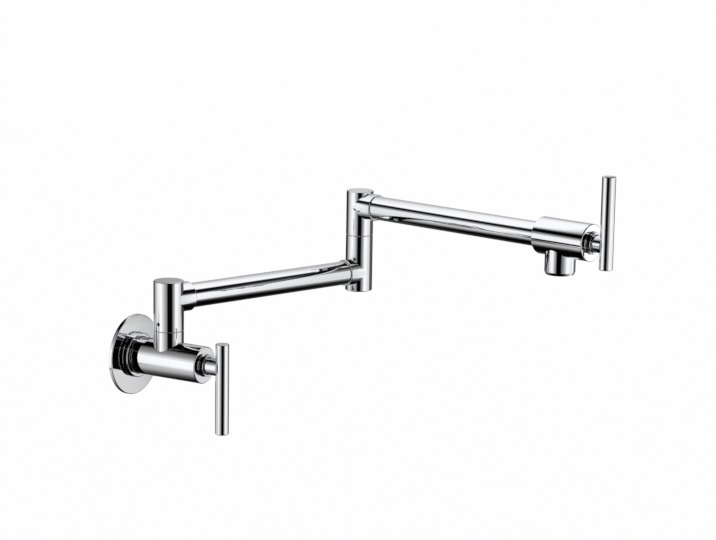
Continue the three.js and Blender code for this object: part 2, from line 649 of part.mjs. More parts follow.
function screwHole(postRadius, bearing, height) {
  const radius = SWIVEL_SCREW_RADIUS + SEAT_GAP;
  return solid(radial(roundBar(radius, SPIGOT_RADIUS, postRadius + OVERRUN, SMALL_SIDES), bearing, height));
}

// ---------------------------------------------------------------------------
// Posts and arm tubes
// ---------------------------------------------------------------------------

const SOCKET_RADIUS = TUBE_RADIUS + SEAT_GAP;

// A post about +Z with a stub along +X for a tube. Returns the outside only.
function postWithStub({ radius, low, high, lowEdge, highEdge, stubRadius, stubFace, armHeight }) {
  const post = roundBar(radius, low, high, LARGE_SIDES, lowEdge, highEdge);
  const stub = alongX(roundBar(stubRadius, 0, stubFace, LARGE_SIDES, 0, STUB_EDGE));
  return solid(post).add(solid(stub.translate(0, 0, armHeight)));
}

// The tube's socket and the waterway behind it, along +X.
function armBore(stubFace, socketDepth, armHeight) {
  return solid(alongX(turned([
    [0, 0],
    [ARM_WATERWAY_RADIUS, 0],
    [ARM_WATERWAY_RADIUS, stubFace - socketDepth],
    [SOCKET_RADIUS, stubFace - socketDepth],
    [SOCKET_RADIUS, stubFace + OVERRUN],
    [0, stubFace + OVERRUN],
  ], MEDIUM_SIDES)).translate(0, 0, armHeight));
}

const tubeEnd = (stubFace, socketDepth) => stubFace - socketDepth + SEAT_GAP;

function armTube(name, from, to, height) {
  const tube = alongX(sleeve(TUBE_RADIUS - TUBE_WALL, TUBE_RADIUS, from, to, LARGE_SIDES));
  return subPart(name, solid(tube.translate(0, 0, height)), CHROME);
}

// ---------------------------------------------------------------------------
// Inlet valve body, with the lower post of the base swivel
// ---------------------------------------------------------------------------

// Made about +X with the end face at x = 0.
function inletValveBody() {
  const rear = INLET_BODY_REAR - INLET_BODY_FRONT;
  const riser = RISER_DISTANCE - INLET_BODY_FRONT;
  const nippleBoreEnd = rear + NIPPLE_ENGAGEMENT + NIPPLE_SEAL_THICKNESS + 2 * SEAT_GAP;
  const barrel = alongX(roundBar(INLET_BODY_RADIUS, rear, 0, LARGE_SIDES, BODY_EDGE, BODY_EDGE));
  const post = roundBar(BASE_POST_RADIUS, 0, BASE_JOINT_HEIGHT - JOINT_GAP / 2, LARGE_SIDES);
  const supply = alongX(turned([
    [0, rear - OVERRUN],
    [NIPPLE_RADIUS + SEAT_GAP, rear - OVERRUN],
    [NIPPLE_RADIUS + SEAT_GAP, nippleBoreEnd],
    [WATERWAY_RADIUS, nippleBoreEnd],
    [WATERWAY_RADIUS, SEAT + OVERRUN],
    [0, SEAT + OVERRUN],
  ], MEDIUM_SIDES));
  const rise = roundBar(WATERWAY_RADIUS, 0, BASE_JOINT_HEIGHT, MEDIUM_SIDES);
  const thread = spigotThreadBore().translate(0, 0, BASE_JOINT_HEIGHT);
  const recess = washerRecess(BASE_POST_RADIUS, SWIVEL_BORE_RADIUS).translate(0, 0, BASE_JOINT_HEIGHT);
  const shape = solid(barrel)
    .add(solid(post.translate(riser, 0, 0)))
    .subtract(solid(supply))
    .subtract(cartridgeBore())
    .subtract(solid(rise.translate(riser, 0, 0)))
    .subtract(solid(thread.translate(riser, 0, 0)))
    .subtract(solid(recess.translate(riser, 0, 0)));
  return subPart('inlet_valve_body', shape, CHROME);
}

// ---------------------------------------------------------------------------
// Lower arm: swivel head, tube and lower elbow post, from the base swivel's axis
// ---------------------------------------------------------------------------

// Heights here are above the base joint.
const ELBOW_JOINT_HEIGHT = LOWER_ARM_RISE + ELBOW_JOINT_RISE;

function baseSwivelHead() {
  const outside = postWithStub({
    radius: BASE_POST_RADIUS,
    low: JOINT_GAP / 2,
    high: BASE_HEAD_HEIGHT,
    lowEdge: 0,
    highEdge: POST_EDGE,
    stubRadius: BASE_STUB_RADIUS,
    stubFace: BASE_STUB_FACE,
    armHeight: LOWER_ARM_RISE,
  });
  const cavityTop = LOWER_ARM_RISE + ARM_WATERWAY_RADIUS + POST_CAVITY_MARGIN;
  const bore = solid(roundBar(SWIVEL_BORE_RADIUS, -OVERRUN, cavityTop, MEDIUM_SIDES));
  const shape = outside
    .subtract(bore)
    .subtract(armBore(BASE_STUB_FACE, BASE_SOCKET_DEPTH, LOWER_ARM_RISE))
    .subtract(screwHole(BASE_POST_RADIUS, BASE_SCREW_ANGLE, BASE_SCREW_HEIGHT));
  return subPart('base_swivel_head', shape, CHROME);
}

function lowerArmTube() {
  const from = tubeEnd(BASE_STUB_FACE, BASE_SOCKET_DEPTH);
  const to = LOWER_ARM_LENGTH - tubeEnd(ELBOW_LOWER_STUB_FACE, ELBOW_LOWER_SOCKET_DEPTH);
  return armTube('lower_arm_tube', from, to, LOWER_ARM_RISE);
}

// Made with its stub along +X; the group turns it back towards the base.
function elbowLowerPost() {
  const outside = postWithStub({
    radius: ELBOW_POST_RADIUS,
    low: LOWER_ARM_RISE - ELBOW_POST_BELOW_ARM,
    high: ELBOW_JOINT_HEIGHT - JOINT_GAP / 2,
    lowEdge: POST_EDGE,
    highEdge: 0,
    stubRadius: ELBOW_STUB_RADIUS,
    stubFace: ELBOW_LOWER_STUB_FACE,
    armHeight: LOWER_ARM_RISE,
  });
  const cavityFloor = LOWER_ARM_RISE - ARM_WATERWAY_RADIUS - POST_CAVITY_MARGIN;
  const bore = roundBar(SWIVEL_BORE_RADIUS, cavityFloor, ELBOW_JOINT_HEIGHT, MEDIUM_SIDES);
  const recess = washerRecess(ELBOW_POST_RADIUS, SWIVEL_BORE_RADIUS - OVERRUN);
  const hole = screwHole(ELBOW_POST_RADIUS, ELBOW_SCREW_ANGLE + 180, ELBOW_JOINT_HEIGHT - ELBOW_SCREW_DEPTH);
  const shape = outside
    .subtract(solid(bore))
    .subtract(armBore(ELBOW_LOWER_STUB_FACE, ELBOW_LOWER_SOCKET_DEPTH, LOWER_ARM_RISE))
    .subtract(solid(recess.translate(0, 0, ELBOW_JOINT_HEIGHT)))
    .subtract(hole);
  return subPart('elbow_lower_post', shape, CHROME);
}

// ---------------------------------------------------------------------------
// Upper arm: upper elbow post, tube and outlet valve, from the elbow's axis
// ---------------------------------------------------------------------------

// Heights here are above the elbow joint.
function elbowUpperPost() {
  const outside = postWithStub({
    radius: ELBOW_POST_RADIUS,
    low: JOINT_GAP / 2,
    high: UPPER_ARM_RISE + ELBOW_POST_ABOVE_ARM,
    lowEdge: 0,
    highEdge: POST_EDGE,
    stubRadius: ELBOW_STUB_RADIUS,
    stubFace: ELBOW_UPPER_STUB_FACE,
    armHeight: UPPER_ARM_RISE,
  });
  const cavity = roundBar(
    ARM_WATERWAY_RADIUS - POST_CAVITY_STEP,
    JOINT_GAP,
    UPPER_ARM_RISE + ARM_WATERWAY_RADIUS + POST_CAVITY_MARGIN,
    MEDIUM_SIDES,
  );
  const shape = outside
    .subtract(solid(cavity))
    .subtract(solid(downwards(spigotThreadBore())))
    .subtract(armBore(ELBOW_UPPER_STUB_FACE, ELBOW_UPPER_SOCKET_DEPTH, UPPER_ARM_RISE));
  return subPart('elbow_upper_post', shape, CHROME);
}

const OUTLET_REAR = SPOUT_REACH - OUTLET_BODY_BEHIND;
const OUTLET_FRONT = SPOUT_REACH + OUTLET_BODY_AHEAD;

function upperArmTube() {
  const from = tubeEnd(ELBOW_UPPER_STUB_FACE, ELBOW_UPPER_SOCKET_DEPTH);
  const to = OUTLET_REAR + OUTLET_SOCKET_DEPTH - SEAT_GAP;
  return armTube('upper_arm_tube', from, to, UPPER_ARM_RISE);
}

// Made about +X with the end face at x = 0 and the spout downwards.
const SPOUT_MOUTH = -SPOUT_DROP;
const AERATOR_BORE_RADIUS = AERATOR_THREAD_RADIUS + SEAT_GAP;
const AERATOR_TOP = SPOUT_MOUTH + AERATOR_HOUSING_HEIGHT;
const AERATOR_WASHER_LOW = AERATOR_TOP + SEAT_GAP;
const AERATOR_WASHER_HIGH = AERATOR_WASHER_LOW + AERATOR_WASHER_THICKNESS;

function outletValveBody() {
  const rear = OUTLET_REAR - OUTLET_FRONT;
  const spoutAt = SPOUT_REACH - OUTLET_FRONT;
  const barrel = alongX(roundBar(OUTLET_BODY_RADIUS, rear, 0, LARGE_SIDES, BODY_EDGE, BODY_EDGE));
  const spout = roundBar(SPOUT_RADIUS, SPOUT_MOUTH, 0, LARGE_SIDES, SPOUT_EDGE);
  const socket = alongX(turned([
    [0, rear - OVERRUN],
    [SOCKET_RADIUS, rear - OVERRUN],
    [SOCKET_RADIUS, rear + OUTLET_SOCKET_DEPTH],
    [WATERWAY_RADIUS, rear + OUTLET_SOCKET_DEPTH],
    [WATERWAY_RADIUS, SEAT + OVERRUN],
    [0, SEAT + OVERRUN],
  ], MEDIUM_SIDES));
  const flangeTop = SPOUT_MOUTH + AERATOR_FLANGE_THICKNESS + SEAT_GAP;
  const mouth = turned([
    [0, SPOUT_MOUTH - OVERRUN],
    [AERATOR_FLANGE_RADIUS + SEAT_GAP, SPOUT_MOUTH - OVERRUN],
    [AERATOR_FLANGE_RADIUS + SEAT_GAP, flangeTop],
    [AERATOR_BORE_RADIUS, flangeTop],
    [AERATOR_BORE_RADIUS, AERATOR_WASHER_HIGH + SEAT_GAP],
    [SPOUT_BORE_RADIUS, AERATOR_WASHER_HIGH + SEAT_GAP],
    [SPOUT_BORE_RADIUS, 0],
    [0, 0],
  ], MEDIUM_SIDES);
  const shape = solid(barrel)
    .add(solid(spout.translate(spoutAt, 0, 0)))
    .subtract(solid(socket))
    .subtract(cartridgeBore())
    .subtract(solid(mouth.translate(spoutAt, 0, 0)));
  return subPart('outlet_valve_body', shape, CHROME);
}

// The aerator's pieces are made about the spout's axis.
function aeratorHousing() {
  const bore = AERATOR_THREAD_RADIUS - AERATOR_WALL;
  return subPart('aerator_housing', solid(turnedRing([
    [bore - AERATOR_LIP, SPOUT_MOUTH],
    [AERATOR_FLANGE_RADIUS, SPOUT_MOUTH],
    [AERATOR_FLANGE_RADIUS, SPOUT_MOUTH + AERATOR_FLANGE_THICKNESS],
    [AERATOR_THREAD_RADIUS, SPOUT_MOUTH + AERATOR_FLANGE_THICKNESS],
    [AERATOR_THREAD_RADIUS, AERATOR_TOP],
    [bore, AERATOR_TOP],
    [bore, SPOUT_MOUTH + AERATOR_LIP_HEIGHT],
    [bore - AERATOR_LIP, SPOUT_MOUTH + AERATOR_LIP_HEIGHT],
  ], MEDIUM_SIDES)), CHROME);
}

// The flow former: a plug with rings of small holes.
function aeratorInsert() {
  const low = SPOUT_MOUTH + AERATOR_LIP_HEIGHT + SEAT_GAP;
  const high = low + AERATOR_INSERT_HEIGHT;
  const radius = AERATOR_THREAD_RADIUS - AERATOR_WALL - SEAT_GAP;
  let shape = solid(roundBar(radius, low, high, MEDIUM_SIDES));
  AERATOR_HOLE_RINGS.forEach((count, ring) => {
    for (let i = 0; i < count; i += 1) {
      const angle = (i * 2 * Math.PI) / count;
      const reach = ring * Math.min(AERATOR_RING_PITCH, (radius - 2 * AERATOR_HOLE_RADIUS) / 2);
      const hole = roundBar(AERATOR_HOLE_RADIUS, low - OVERRUN, high + OVERRUN, RING_SIDES);
      hole.translate(reach * Math.cos(angle), reach * Math.sin(angle), 0);
      shape = shape.subtract(solid(hole));
    }
  });
  return subPart('aerator_insert', shape, ACETAL);
}

function aeratorWasher() {
  const washer = sleeve(
    AERATOR_WASHER_BORE_RADIUS, AERATOR_THREAD_RADIUS, AERATOR_WASHER_LOW, AERATOR_WASHER_HIGH, MEDIUM_SIDES,
  );
  return subPart('aerator_washer', solid(washer), RUBBER);
}

// ---------------------------------------------------------------------------
// Assembly
// ---------------------------------------------------------------------------

function wallPieces() {
  const group = new THREE.Group();
  group.rotation.x = 90 * DEGREES;
  group.add(wallFlange(), flangeGrubScrew(), flangeGasket(), inletNipple(), nippleSeal());
  return group;
}

function inletValve() {
  const group = new THREE.Group();
  group.position.set(0, -INLET_BODY_FRONT, 0);
  group.rotation.z = -90 * DEGREES;
  group.add(inletValveBody(), cartridge('inlet'), handle('inlet', INLET_BAR_OFFSET, false));
  return group;
}

function baseSwivel() {
  const group = new THREE.Group();
  group.position.set(0, -RISER_DISTANCE, BASE_JOINT_HEIGHT);
  group.add(
    subPart('base_spigot', solid(spigot(BASE_SPIGOT_LENGTH, BASE_SCREW_HEIGHT, BASE_SEALS)), BRASS),
    subPart('base_lower_seal', solid(swivelSeal(BASE_SEALS[0])), RUBBER),
    subPart('base_upper_seal', solid(swivelSeal(BASE_SEALS[1])), RUBBER),
    thrustWasher('base_thrust_washer', BASE_POST_RADIUS),
  );
  return group;
}

function outletValve() {
  const group = new THREE.Group();
  group.position.set(OUTLET_FRONT, 0, UPPER_ARM_RISE);
  const aerator = new THREE.Group();
  aerator.position.x = SPOUT_REACH - OUTLET_FRONT;
  aerator.add(aeratorHousing(), aeratorInsert(), aeratorWasher());
  group.add(outletValveBody(), aerator, cartridge('outlet'), handle('outlet', OUTLET_BAR_OFFSET, true));
  return group;
}

function upperArm() {
  const group = new THREE.Group();
  group.position.set(LOWER_ARM_LENGTH, 0, ELBOW_JOINT_HEIGHT);
  group.rotation.z = UPPER_ARM_ANGLE * DEGREES;
  const hanging = solid(downwards(spigot(ELBOW_SPIGOT_LENGTH, ELBOW_SCREW_DEPTH, ELBOW_SEALS)));
  group.add(
    subPart('elbow_spigot', hanging, BRASS),
    subPart('elbow_upper_seal', solid(downwards(swivelSeal(ELBOW_SEALS[0]))), RUBBER),
    subPart('elbow_lower_seal', solid(downwards(swivelSeal(ELBOW_SEALS[1]))), RUBBER),
    elbowUpperPost(),
    upperArmTube(),
    outletValve(),
  );
  return group;
}

// The elbow's lower half, with its stub turned back towards the base.
function elbowLowerHalf() {
  const group = new THREE.Group();
  group.position.set(LOWER_ARM_LENGTH, 0, 0);
  group.rotation.z = 180 * DEGREES;
  const washer = thrustWasher('elbow_thrust_washer', ELBOW_POST_RADIUS);
  washer.position.z = ELBOW_JOINT_HEIGHT;
  const screwHeight = ELBOW_JOINT_HEIGHT - ELBOW_SCREW_DEPTH;
  const bearing = ELBOW_SCREW_ANGLE + 180;
  const screw = retainingScrew('elbow_retaining_screw', ELBOW_POST_RADIUS, bearing, screwHeight);
  group.add(elbowLowerPost(), washer, screw);
  return group;
}

function lowerArm() {
  const group = new THREE.Group();
  group.position.set(0, -RISER_DISTANCE, BASE_JOINT_HEIGHT);
  group.rotation.z = (LOWER_ARM_ANGLE - 90) * DEGREES;
  group.add(
    baseSwivelHead(),
    retainingScrew('base_retaining_screw', BASE_POST_RADIUS, BASE_SCREW_ANGLE, BASE_SCREW_HEIGHT),
    lowerArmTube(),
    elbowLowerHalf(),
    upperArm(),
  );
  return group;
}

const potFiller = new THREE.Group();
potFiller.add(wallPieces(), inletValve(), baseSwivel(), lowerArm());

export default potFiller;
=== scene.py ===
"""A wall mounted pot filler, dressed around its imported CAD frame.

The file follows the tap from the wall outwards. Sizes are in millimetres in the part's frame
(wall's face at y = 0, room along -Y, +Z up) and become metres when a piece is placed.
"""

import json
import math

import bmesh
import bpy
from mathutils import Matrix, Vector


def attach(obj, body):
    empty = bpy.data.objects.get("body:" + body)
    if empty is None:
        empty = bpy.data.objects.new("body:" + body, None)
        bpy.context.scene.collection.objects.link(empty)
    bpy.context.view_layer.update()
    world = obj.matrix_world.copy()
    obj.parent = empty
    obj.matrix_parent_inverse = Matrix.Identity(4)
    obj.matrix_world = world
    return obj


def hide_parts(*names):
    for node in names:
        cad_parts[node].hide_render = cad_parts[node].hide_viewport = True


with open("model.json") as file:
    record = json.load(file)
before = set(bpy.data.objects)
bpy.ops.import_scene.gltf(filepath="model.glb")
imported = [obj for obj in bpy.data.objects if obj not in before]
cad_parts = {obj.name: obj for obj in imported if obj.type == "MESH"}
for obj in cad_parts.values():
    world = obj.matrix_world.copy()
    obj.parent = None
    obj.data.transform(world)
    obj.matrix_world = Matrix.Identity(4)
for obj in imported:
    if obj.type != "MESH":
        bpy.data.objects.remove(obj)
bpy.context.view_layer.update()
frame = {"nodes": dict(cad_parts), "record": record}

# ----------------------------------------
# The camera stands out in the room, left of the tap, and looks slightly down on it. Its place
# and lens are the ones that put the tap's outlines where the photo has them.

MM = 0.001
CAMERA_AT = (-1620.75, -1199.99, 473.30)
CAMERA_YAW = math.radians(-59.207)
CAMERA_PITCH = math.radians(11.087)
CAMERA_ROLL = math.radians(0.9485)
CAMERA_LENS = 115.096
CAMERA_SENSOR = 36.0
CAMERA_CLIP = (0.1, 50)

scene = bpy.context.scene
camera_data = bpy.data.cameras.new("camera")
camera_data.lens = CAMERA_LENS
camera_data.sensor_width = CAMERA_SENSOR
camera_data.sensor_fit = "HORIZONTAL"
camera_data.clip_start, camera_data.clip_end = CAMERA_CLIP
camera = bpy.data.objects.new("camera", camera_data)
scene.collection.objects.link(camera)
scene.camera = camera

towards_camera = Vector((
    math.sin(CAMERA_YAW) * math.cos(CAMERA_PITCH),
    -math.cos(CAMERA_YAW) * math.cos(CAMERA_PITCH),
    math.sin(CAMERA_PITCH),
))
level_right = Vector((math.cos(CAMERA_YAW), math.sin(CAMERA_YAW), 0))
level_up = towards_camera.cross(level_right)
camera_right = level_right * math.cos(CAMERA_ROLL) + level_up * math.sin(CAMERA_ROLL)
camera_up = level_up * math.cos(CAMERA_ROLL) - level_right * math.sin(CAMERA_ROLL)
camera_turn = Matrix((camera_right, camera_up, towards_camera)).transposed().to_4x4()
camera.matrix_world = Matrix.Translation(Vector(CAMERA_AT) * MM) @ camera_turn

# ----------------------------------------
# The studio: white light all round and a pale floor. A tent stands round the tap, its sheets
# glowing in painted greys of lit cloth, with a soft box in its roof. Only mirrored rays see it,
# so it lights nothing and shows in the chrome alone, as painted reflections.

world = bpy.data.worlds.new("studio")
scene.world = world
world.use_nodes = True
background = world.node_tree.nodes["Background"]
background.inputs["Color"].default_value = (1, 1, 1, 1)
background.inputs["Strength"].default_value = 1.0
scene.view_settings.view_transform = "Standard"

FLOOR_LEVEL = -1.0
FLOOR_REACH = 30.0
FLOOR_SPECKLE = 3
FLOOR_GREYS = (0.985, 0.995)
FLOOR_ROUGHNESS = 0.9


def new_material(name):
    """A material with its node tree and its shader."""
    material = bpy.data.materials.new(name)
    material.use_nodes = True
    return material, material.node_tree, material.node_tree.nodes["Principled BSDF"]


def node(tree, kind, links=None, **settings):
    """Adds a node with its settings, and sets or links its sockets by name or number. Another
    node among the links stands for its first output."""
    made = tree.nodes.new(kind)
    for key, value in settings.items():
        setattr(made, key, value)
    for key, value in (links or {}).items():
        if isinstance(value, bpy.types.Node):
            value = value.outputs[0]
        if isinstance(value, bpy.types.NodeSocket):
            tree.links.new(value, made.inputs[key])
        else:
            made.inputs[key].default_value = value
    return made


def stage_sheet(name, corners, material):
    """One flat sheet of the studio, which isn't part of the tap."""
    mesh = bpy.data.meshes.new(name)
    mesh.from_pydata(corners, [], [(0, 1, 2, 3)])
    mesh.materials.append(material)
    sheet = bpy.data.objects.new(name, mesh)
    scene.collection.objects.link(sheet)
    return sheet


floor_paint, floor_tree, floor_shader = new_material("pale_floor_paint")
floor_speckle = node(floor_tree, "ShaderNodeTexNoise", {"Scale": FLOOR_SPECKLE})
floor_shade = node(floor_tree, "ShaderNodeMapRange", {
    "Value": floor_speckle.outputs["Fac"], "To Min": FLOOR_GREYS[0], "To Max": FLOOR_GREYS[1],
})
floor_tree.links.new(floor_shade.outputs["Result"], floor_shader.inputs["Base Color"])
floor_shader.inputs["Roughness"].default_value = FLOOR_ROUGHNESS
floor_shader.inputs["Specular IOR Level"].default_value = 0
stage_sheet("pale_floor", [
    (FLOOR_REACH * x, FLOOR_REACH * y, FLOOR_LEVEL) for x, y in ((-1, -1), (1, -1), (1, 1), (-1, 1))
], floor_paint)

# The tent, in metres: X runs to the camera's right and Y away from it. A corner is named by
# its sides, such as LFG for left, front and ground, or RBT for right, back and top.
TENT_X = {"L": -1.09, "R": 0.93}
TENT_Y = {"F": -0.66, "B": 1.06}
TENT_Z = {"G": -0.446, "T": 0.33}
# CONTRAST, DARKEST_GREY and DISPLAY_POWER turn the painted reflection greys into glow strength.
CONTRAST = (1.18, -0.14)
DARKEST_GREY = 0.02
DISPLAY_POWER = 2.2
SOFT_BOX_X = (0.174, 0.291)
SOFT_BOX_Y = (0.467, 0.488)


def reckon(tree, operation, *terms):
    """A Math node on links or plain numbers."""
    return node(tree, "ShaderNodeMath", dict(enumerate(terms)), operation=operation).outputs[0]


def eased(tree, value, start, end, low, high):
    """Goes softly from low to high while the value goes from start to end."""
    return node(tree, "ShaderNodeMapRange", {
        "Value": value, "From Min": start, "From Max": end, "To Min": low, "To Max": high,
    }, interpolation_type="SMOOTHSTEP").outputs["Result"]


def beside(tree, value, middle, full, end):
    """1 as far as full on both sides of the middle, and softly down to 0 at end."""
    aside = reckon(tree, "ABSOLUTE", reckon(tree, "SUBTRACT", value, middle))
    return eased(tree, aside, full, end, 1, 0)


def shaded(tree, value, stops):
    """Greys that change evenly between (place, grey) stops."""
    first, last = stops[0][0], stops[-1][0]
    spread = node(tree, "ShaderNodeMapRange", {"Value": value, "From Min": first, "From Max": last})
    ramp = node(tree, "ShaderNodeValToRGB", {"Fac": spread.outputs["Result"]})
    elements = ramp.color_ramp.elements
    while len(elements) < len(stops):
        elements.new(0.5)
    for element, (place, grey) in zip(elements, stops):
        element.position = (place - first) / (last - first)
    for element, (place, grey) in zip(elements, stops):
        element.color = (grey, grey, grey, 1)
    return ramp.outputs["Color"]


def blended(tree, factor, low, high):
    """Low where the factor is 0, high where it is 1."""
    return reckon(tree, "MULTIPLY_ADD", factor, reckon(tree, "SUBTRACT", high, low), low)


def tent_reflection_glow(name, paint):
    """A glow that only mirrored rays see, at the brightness that paint gives for a place on it:
    a painted reflection in the chrome. Other rays pass through it.
    """
    material, tree, _ = new_material(name)
    tree.nodes.clear()
    place = node(tree, "ShaderNodeTexCoord")
    parts = node(tree, "ShaderNodeSeparateXYZ", {"Vector": place.outputs["Object"]})
    grey = reckon(tree, "MULTIPLY_ADD", paint(tree, *parts.outputs), *CONTRAST)
    grey = reckon(tree, "MAXIMUM", grey, DARKEST_GREY)
    glow = node(tree, "ShaderNodeEmission", {"Strength": reckon(tree, "POWER", grey, DISPLAY_POWER)})
    rays = node(tree, "ShaderNodeLightPath")
    choice = node(tree, "ShaderNodeMixShader", {
        "Fac": rays.outputs["Is Glossy Ray"], 1: node(tree, "ShaderNodeBsdfTransparent"), 2: glow,
    })
    node(tree, "ShaderNodeOutputMaterial", {"Surface": choice})
    material.cycles.emission_sampling = "NONE"
    return material


def roof_reflection_glow(tree, x, y, z):
    """Painted reflection: dark over the tap and paler to both sides, with the soft box set into it."""
    cloth_glow = shaded(tree, reckon(tree, "MULTIPLY_ADD", y, 0.5, x), [
        (-0.87, 0.86), (-0.26, 0.49), (-0.16, 0.14), (0.36, 0.09), (0.6, 0.33), (0.68, 0.51),
        (0.99, 0.75),
    ])
    middle, half_width = SOFT_BOX_X
    front, depth = SOFT_BOX_Y
    aside = reckon(tree, "DIVIDE", reckon(tree, "SUBTRACT", x, middle), half_width)
    ahead = reckon(tree, "DIVIDE", reckon(tree, "SUBTRACT", front, y), depth)
    ahead = reckon(tree, "POWER", reckon(tree, "MAXIMUM", ahead, 0), 2)
    reach = reckon(tree, "SQRT", reckon(tree, "MULTIPLY_ADD", aside, aside, ahead))
    box = eased(tree, reach, 0.95, 1.2, 1, 0)
    return blended(tree, box, cloth_glow, eased(tree, y, 0.1, 0.5, 0.973, 0.731))


def ground_reflection_glow(tree, x, y, z):
    """Painted reflection: dark under the tap and pale to both sides, with the foot of a stand
    at the left.
    """
    cloth_glow = shaded(tree, reckon(tree, "MULTIPLY_ADD", y, 0.055, x), [
        (-1.07, 0.95), (-0.75, 0.84), (-0.36, 0.67), (-0.08, 0.16), (0.51, 0.17), (0.84, 0.64),
        (1.07, 0.8),
    ])
    behind = blended(tree, eased(tree, y, 0.354, 0.554, 0, 0.6), cloth_glow, 0.42)
    stand = beside(tree, y, -0.2, 0.04, 0.09)
    stand = reckon(tree, "MULTIPLY", stand, eased(tree, x, -0.8, -0.6, 1, 0))
    return blended(tree, stand, behind, 0.42)


def front_reflection_glow(tree, x, y, z):
    """Painted reflection: black in the middle, where the camera stands, and white at both sides."""
    return shaded(tree, reckon(tree, "MULTIPLY_ADD", z, 0.08, x), [
        (-1.09, 1.02), (-0.58, 0.9), (-0.08, 0.58), (0.045, 0.09), (0.215, 0.07), (0.34, 0.1),
        (0.46, 0.49), (0.97, 0.93),
    ])


def left_reflection_glow(tree, x, y, z):
    """Painted reflection: white towards the camera, greyer away from it, with a dark stand in
    front at its foot.
    """
    cloth_glow = shaded(tree, reckon(tree, "MULTIPLY", y, -1), [
        (-0.95, 0.42), (-0.57, 0.64), (-0.29, 0.78), (0.0, 0.87), (0.2, 0.93), (0.56, 0.97),
    ])
    stand = beside(tree, y, -0.33, 0.04, 0.09)
    stand = reckon(tree, "MULTIPLY", stand, eased(tree, z, -0.24, -0.19, 1, 0))
    return blended(tree, stand, cloth_glow, 0.15)


def right_reflection_glow(tree, x, y, z):
    """Painted reflection: white towards the camera, with a white card, and dimmer away from it
    over the ground.
    """
    cloth_glow = shaded(tree, reckon(tree, "MULTIPLY", y, -1), [
        (-0.61, 0.31), (-0.38, 0.84), (0.03, 0.87), (0.23, 0.965),
    ])
    dim = eased(tree, y, 0.2, 0.36, 0, 1)
    dim = reckon(tree, "MULTIPLY", dim, eased(tree, z, -0.2, -0.14, 0, 1))
    card = beside(tree, y, 0.06, 0.03, 0.06)
    card = reckon(tree, "MULTIPLY", card, beside(tree, z, 0.015, 0.03, 0.06))
    return blended(tree, card, blended(tree, dim, cloth_glow, 0.42), 1.02)


def back_reflection_glow(tree, x, y, z):
    """Painted reflection: pale along its top and grey along its foot, with a dark band between
    the two.
    """
    cloth_glow = shaded(tree, x, [(-0.9, 0.22), (0.2, 0.8), (1.0, 0.31)])
    band = eased(tree, z, -0.29, -0.19, 0.45, 1)
    band = reckon(tree, "MULTIPLY", band, eased(tree, z, -0.02, 0.18, 1, 0))
    return blended(tree, band, cloth_glow, 0.22)


for name, paint, corners in (
    ("tent_roof", roof_reflection_glow, "LFT RFT RBT LBT"),
    ("tent_ground", ground_reflection_glow, "LFG RFG RBG LBG"),
    ("tent_front", front_reflection_glow, "LFG RFG RFT LFT"),
    ("tent_back", back_reflection_glow, "LBG RBG RBT LBT"),
    ("tent_left_side", left_reflection_glow, "LFG LBG LBT LFT"),
    ("tent_right_side", right_reflection_glow, "RFG RBG RBT RFT"),
):
    places = [(TENT_X[x], TENT_Y[y], TENT_Z[z]) for x, y, z in corners.split()]
    sheet = stage_sheet(name, places, tent_reflection_glow(name, paint))
    sheet.matrix_world = Matrix.Rotation(CAMERA_YAW, 4, "Z")

# ----------------------------------------
# Wall flange: a stepped brass disc with a hub, spun and polished, then chrome plated.
# It slides over the valve body and is held against the wall by a grub screw in its hub.

FLANGE_RADIUS = 36.25
FLANGE_THICKNESS = 3.4
FLANGE_HUB_RADIUS = 20.2
FLANGE_HUB_HEIGHT = 8.3
FLANGE_BORE_RADIUS = 17.0
FLANGE_EDGE = 0.25
FLANGE_SCREW_HEIGHT = (FLANGE_THICKNESS + FLANGE_HUB_HEIGHT) / 2
GASKET_SEAT = (22.8, 32.7, 1.4)
GRUB_HOLE = 1.6

HOLDING_POINT = 0.12
ARC_STEPS = 5
TINY = 1e-6
MERGE_DISTANCE = 1e-4
SHARP_ANGLE = math.radians(25)
NOISE_RANGE = (0.3, 0.7)
CUT_MARGIN = 1.0


def rounded_outline(corners):
    """Points along (radius, height, rounding) corners. A rounding becomes a short arc, with a
    point close before and after it, so that the faces beside it mirror as flat ones."""
    points = []
    for i, (radius, height, rounding) in enumerate(corners):
        corner = Vector((radius, height))
        if rounding == 0:
            points.append(corner)
            continue
        to_last = Vector(corners[i - 1][:2]) - corner
        to_next = Vector(corners[(i + 1) % len(corners)][:2]) - corner
        half = to_last.angle(to_next) / 2
        tangent = rounding / math.tan(half)
        last_way, next_way = to_last.normalized(), to_next.normalized()
        centre = corner + (last_way + next_way).normalized() * rounding / math.sin(half)
        start = corner + last_way * tangent - centre
        end = corner + next_way * tangent - centre
        sweep = math.pi - 2 * half
        if to_last.length > tangent + 2 * HOLDING_POINT:
            points.append(corner + last_way * (tangent + HOLDING_POINT))
        for step in range(ARC_STEPS + 1):
            part = step / ARC_STEPS
            spoke = start * math.sin((1 - part) * sweep) + end * math.sin(part * sweep)
            points.append(centre + spoke / math.sin(sweep))
        if to_next.length > tangent + 2 * HOLDING_POINT:
            points.append(corner + next_way * (tangent + HOLDING_POINT))
    return points


def level_ring(bm, radius, height, turns):
    """Points round +Z at one height, or a single pole where there is no radius."""
    if radius < TINY:
        return [bm.verts.new((0, 0, height))]
    return [bm.verts.new((radius * math.cos(turn), radius * math.sin(turn), height)) for turn in turns]


def join_rings(bm, low, high, flip=False):
    """Faces between two rings of points, either of which may be a single pole."""
    sides = max(len(low), len(high))
    for k in range(sides):
        after = (k + 1) % sides
        corners = [low[k % len(low)], low[after % len(low)]]
        corners += [high[after % len(high)], high[k % len(high)]]
        corners = list(dict.fromkeys(corners))
        if len(corners) > 2:
            bm.faces.new(corners[::-1] if flip else corners)


